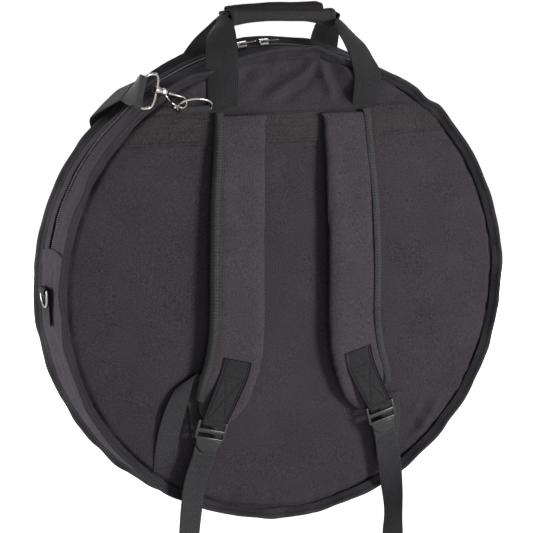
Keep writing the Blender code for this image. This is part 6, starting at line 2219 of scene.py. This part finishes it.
TAIL_SHARES = {
    "left": ((0.0, 0.0, (1.0, 0.0), 0.0), (-0.07, 0.2, (1.0, 0.05), 0.01), (-0.11, 0.5, (0.98, 0.2), 0.02),
             (-0.13, 0.75, (1.0, 0.1), 0.02), (-0.15, 1.0, (1.0, 0.0), 0.02)),
    "right": ((0.0, 0.0, (1.0, 0.0), 0.0), (0.03, 0.2, (0.9, -0.4), 0.01), (0.05, 0.5, (0.45, -0.9), 0.03),
              (0.05, 0.7, (0.62, -0.8), 0.03), (0.06, 1.0, (0.75, -0.66), 0.03)),
}
TAIL_LEAD = 0.020


def tail_rows(suffix, side):
    """Rows of a loose end, from behind the buckle's tongue down."""
    base = lock_base(side)
    below = LOCK_BAR / 2.0 - LOCK_LENGTH - 2.0 * CLEARANCE
    behind = -(LOCK_THICKNESS + WEBBING_THICKNESS) / 2.0 - CLEARANCE
    start = base @ Vector((0.0, behind, below))
    drop = start.z - TAIL_END_Z
    across = rightwards(base.col[0].to_3d())
    rows = []
    for x_share, z_share, way, off_share in TAIL_SHARES[suffix]:
        centre = start + Vector((x_share * drop, -off_share * drop, -z_share * drop))
        rows.append((centre, Vector((way[0], way[1], 0.0)).normalized(), LOAD_WIDTH))
    rows[0] = (start, across, LOAD_WIDTH)
    above = (base @ Vector((0.0, behind, below + TAIL_LEAD)), across, LOAD_WIDTH)
    return [above] + smooth_rows(rows, 14)


for suffix, side in SIDES:
    rows = tail_rows(suffix, side)
    tail = ribbon("tail_band_" + suffix, rows, STRAP_WEBBING_WITH_PAINTED_LIGHT, crown=SLACK_WAVE, wave=SLACK_WAVE)
    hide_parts("strap_tail_" + suffix)
    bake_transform(tail)
    print("tail", suffix, round(rows_length(rows), 3), "m long")

# %% [markdown]
# The unseen face carries a half-moon pocket for smaller cymbals: a curved wall, a front and a
# straight zip along its top. The front is the same round sheet as the faces, cut off level
# with the zip, so its edge can be puffed and sewn in the same way.
# %% Outer pocket

POCKET_RADIUS = 0.262
POCKET_TOP = 0.045
POCKET_DEPTH = 0.022
POCKET_WALL = 0.002
POCKET_SWELL = 0.004
POCKET_BULGE = 0.0010
POCKET_EDGE = 0.0005
POCKET_CELLS = 110
POCKET_WAVES = ((90.0, 9.0, 0.0022), (91.0, 26.0, 0.0008))
ZIP_END_GAP = 0.004
POCKET_TAPE_THICKNESS = 0.0016
POCKET_TAPE_SINK = 0.0009
POCKET_TAPE_SAG = 0.0006
POCKET_COIL_LIFT = 0.0001
pocket_start = math.degrees(math.asin(POCKET_TOP / POCKET_RADIUS))
pocket_front = HALF_DEPTH + POCKET_DEPTH


def pocket_front_place(u, v):
    """The pocket's front, slack in the middle and drawn in at its rim."""
    x, z = disc_place(u, v, POCKET_RADIUS)
    share = math.hypot(x, z) / POCKET_RADIUS
    swell = POCKET_SWELL * (1.0 - share ** 4) * smooth_step(POCKET_TOP, POCKET_TOP - 0.10, z)
    waves = ripples(x, z, POCKET_WAVES) * (1.0 - share ** CROWN_POWER)
    return Vector((x, pocket_front + POCKET_WALL + swell + waves, z))


bm = grid_sheet(POCKET_CELLS, POCKET_CELLS, pocket_front_place, (2.0 * POCKET_RADIUS, 2.0 * POCKET_RADIUS))
bmesh.ops.bisect_plane(bm, geom=bm.verts[:] + bm.edges[:] + bm.faces[:], plane_co=UP * POCKET_TOP,
                       plane_no=UP, clear_outer=True)
pocket = make_object("pocket_front_cloth", bm, PANEL_CLOTH)
thicken(pocket, POCKET_WALL, inward(pocket, BACKWARD), POCKET_EDGE)
dress(pocket, "bag", "cloth", "pocket_front_panel")


def pocket_depth_place(u):
    """How far behind the bag's middle a share of the pocket's depth lies."""
    return HALF_DEPTH + CLEARANCE + (POCKET_DEPTH - 2.0 * CLEARANCE) * u


def pocket_wall_place(u, v):
    """The pocket's curved wall."""
    degrees = 180.0 - pocket_start + (180.0 + 2.0 * pocket_start) * v
    spot = polar(1.0, degrees, 0.0)
    bulge = (POCKET_BULGE + wander(spot.x, 95.0 + u, spot.z, 8.0, 0.0012)) * math.sin(math.pi * u)
    return polar(POCKET_RADIUS + bulge, degrees, pocket_depth_place(u))


size = (POCKET_DEPTH, math.radians(200.0) * POCKET_RADIUS)
wall = make_object("pocket_gusset_cloth", grid_sheet(10, 240, pocket_wall_place, size), GUSSET_CLOTH)
thicken(wall, POCKET_TAPE_THICKNESS, inward(wall), CUT_EDGE)
dress(wall, "bag", "gusset", "pocket_gusset")
print("pocket wall", round(size[1], 3), "m long")

# %% Pocket zip

pocket_half = math.sqrt(POCKET_RADIUS ** 2 - POCKET_TOP ** 2) - POCKET_WALL - ZIP_END_GAP
pocket_middle = (HALF_DEPTH + pocket_front) / 2.0


def pocket_tape_place(u, v):
    """Flat tape along the top of the pocket."""
    y = pocket_depth_place(u)
    x = -pocket_half + 2.0 * pocket_half * v
    sag = POCKET_TAPE_SAG * math.sin(math.pi * u) + wander(x, y * 10.0, 97.0, 12.0, 0.0008)
    return Vector((x, y, POCKET_TOP - POCKET_TAPE_SINK - sag * math.sin(math.pi * u)))


bm = grid_sheet(12, 160, pocket_tape_place, (POCKET_DEPTH, 2.0 * pocket_half))
tape = make_object("pocket_zip_tape", bm, ZIP_TAPE)
thicken(tape, POCKET_TAPE_THICKNESS, 0.0, CUT_EDGE)
dress(tape, "bag", "zip_chain", "pocket_zip_chain")
coil = bmesh.new()
count = int(2.0 * pocket_half / COIL_PITCH) - 2
for k in range(count):
    for side in (-1.0, 1.0):
        x = -pocket_half + COIL_PITCH * (k + 1.5 + COIL_STAGGER * side)
        spot = Vector((x, pocket_middle + side * COIL_OVERLAP, POCKET_TOP + POCKET_COIL_LIFT))
        coil_grain(coil, spot, BACKWARD, -RIGHT, UP)
dress(make_object("pocket_zip_coil", coil, COIL_PLASTIC), "bag", "zip_chain")
print("pocket zip", 2 * count, "loops")

# %% [markdown]
# The sliders are small castings whose solids already have the right bridge and body, so they
# stay and get a plated finish. Their pulls are bent wire, kept from the solids as well.
# %% Sliders and pulls

KEPT = ("zip_slider_left", "zip_slider_right", "pocket_slider", "zip_pull_left", "zip_pull_right",
        "pocket_pull")
for node in KEPT:
    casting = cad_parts[node]
    casting.data.materials.clear()
    casting.data.materials.append(DARK_NICKEL)
    print(node, "kept,", len(casting.data.polygons), "faces")

# %% [markdown]
# Rows of thread hold the band along both its edges. A box with a cross in it holds the strap's
# loop, which pulls hardest, and one short seam lies over the join of the band's two lengths.
# %% Band stitches

BAND_THREADS = ((0.0016, False), (0.0052, False), (-0.0022, True))
BAND_THREAD_INSET = 0.006
LOOP_BOX_X = (-0.1586, -0.1133)
LOOP_BOX_INSET = 0.004
LOOP_BOX_STEPS = 24
SEAM_X = 0.1100


def band_thread(x, z):
    """A place for thread on the band."""
    return front_point(x, z, BAND_THICKNESS + CLEARANCE + THREAD_LIFT)


band_runs = []
for offset, top in BAND_THREADS:
    z = band_edge(0.0, top) + offset
    reach = math.sqrt((PANEL_RADIUS - BAND_THREAD_INSET) ** 2 - z * z)
    places = [-reach + 2.0 * reach * k / 160.0 for k in range(161)]
    band_runs.append([band_thread(x, band_edge(x, top) + offset) for x in places])
box_low = BAND_LOW + LOOP_BOX_INSET
box_high = BAND_TOP - 2.0 * LOOP_BOX_INSET
sewn_lines = box_lines(*LOOP_BOX_X, box_low, box_high)
sewn_lines.append(((SEAM_X, box_low), (SEAM_X, BAND_TOP + LOOP_BOX_INSET)))
band_runs += [straight_run(band_thread, *line, LOOP_BOX_STEPS) for line in sewn_lines]
stitch_piece("band_stitches", band_runs, "bag")
print(len(band_runs), "runs of thread on the band")
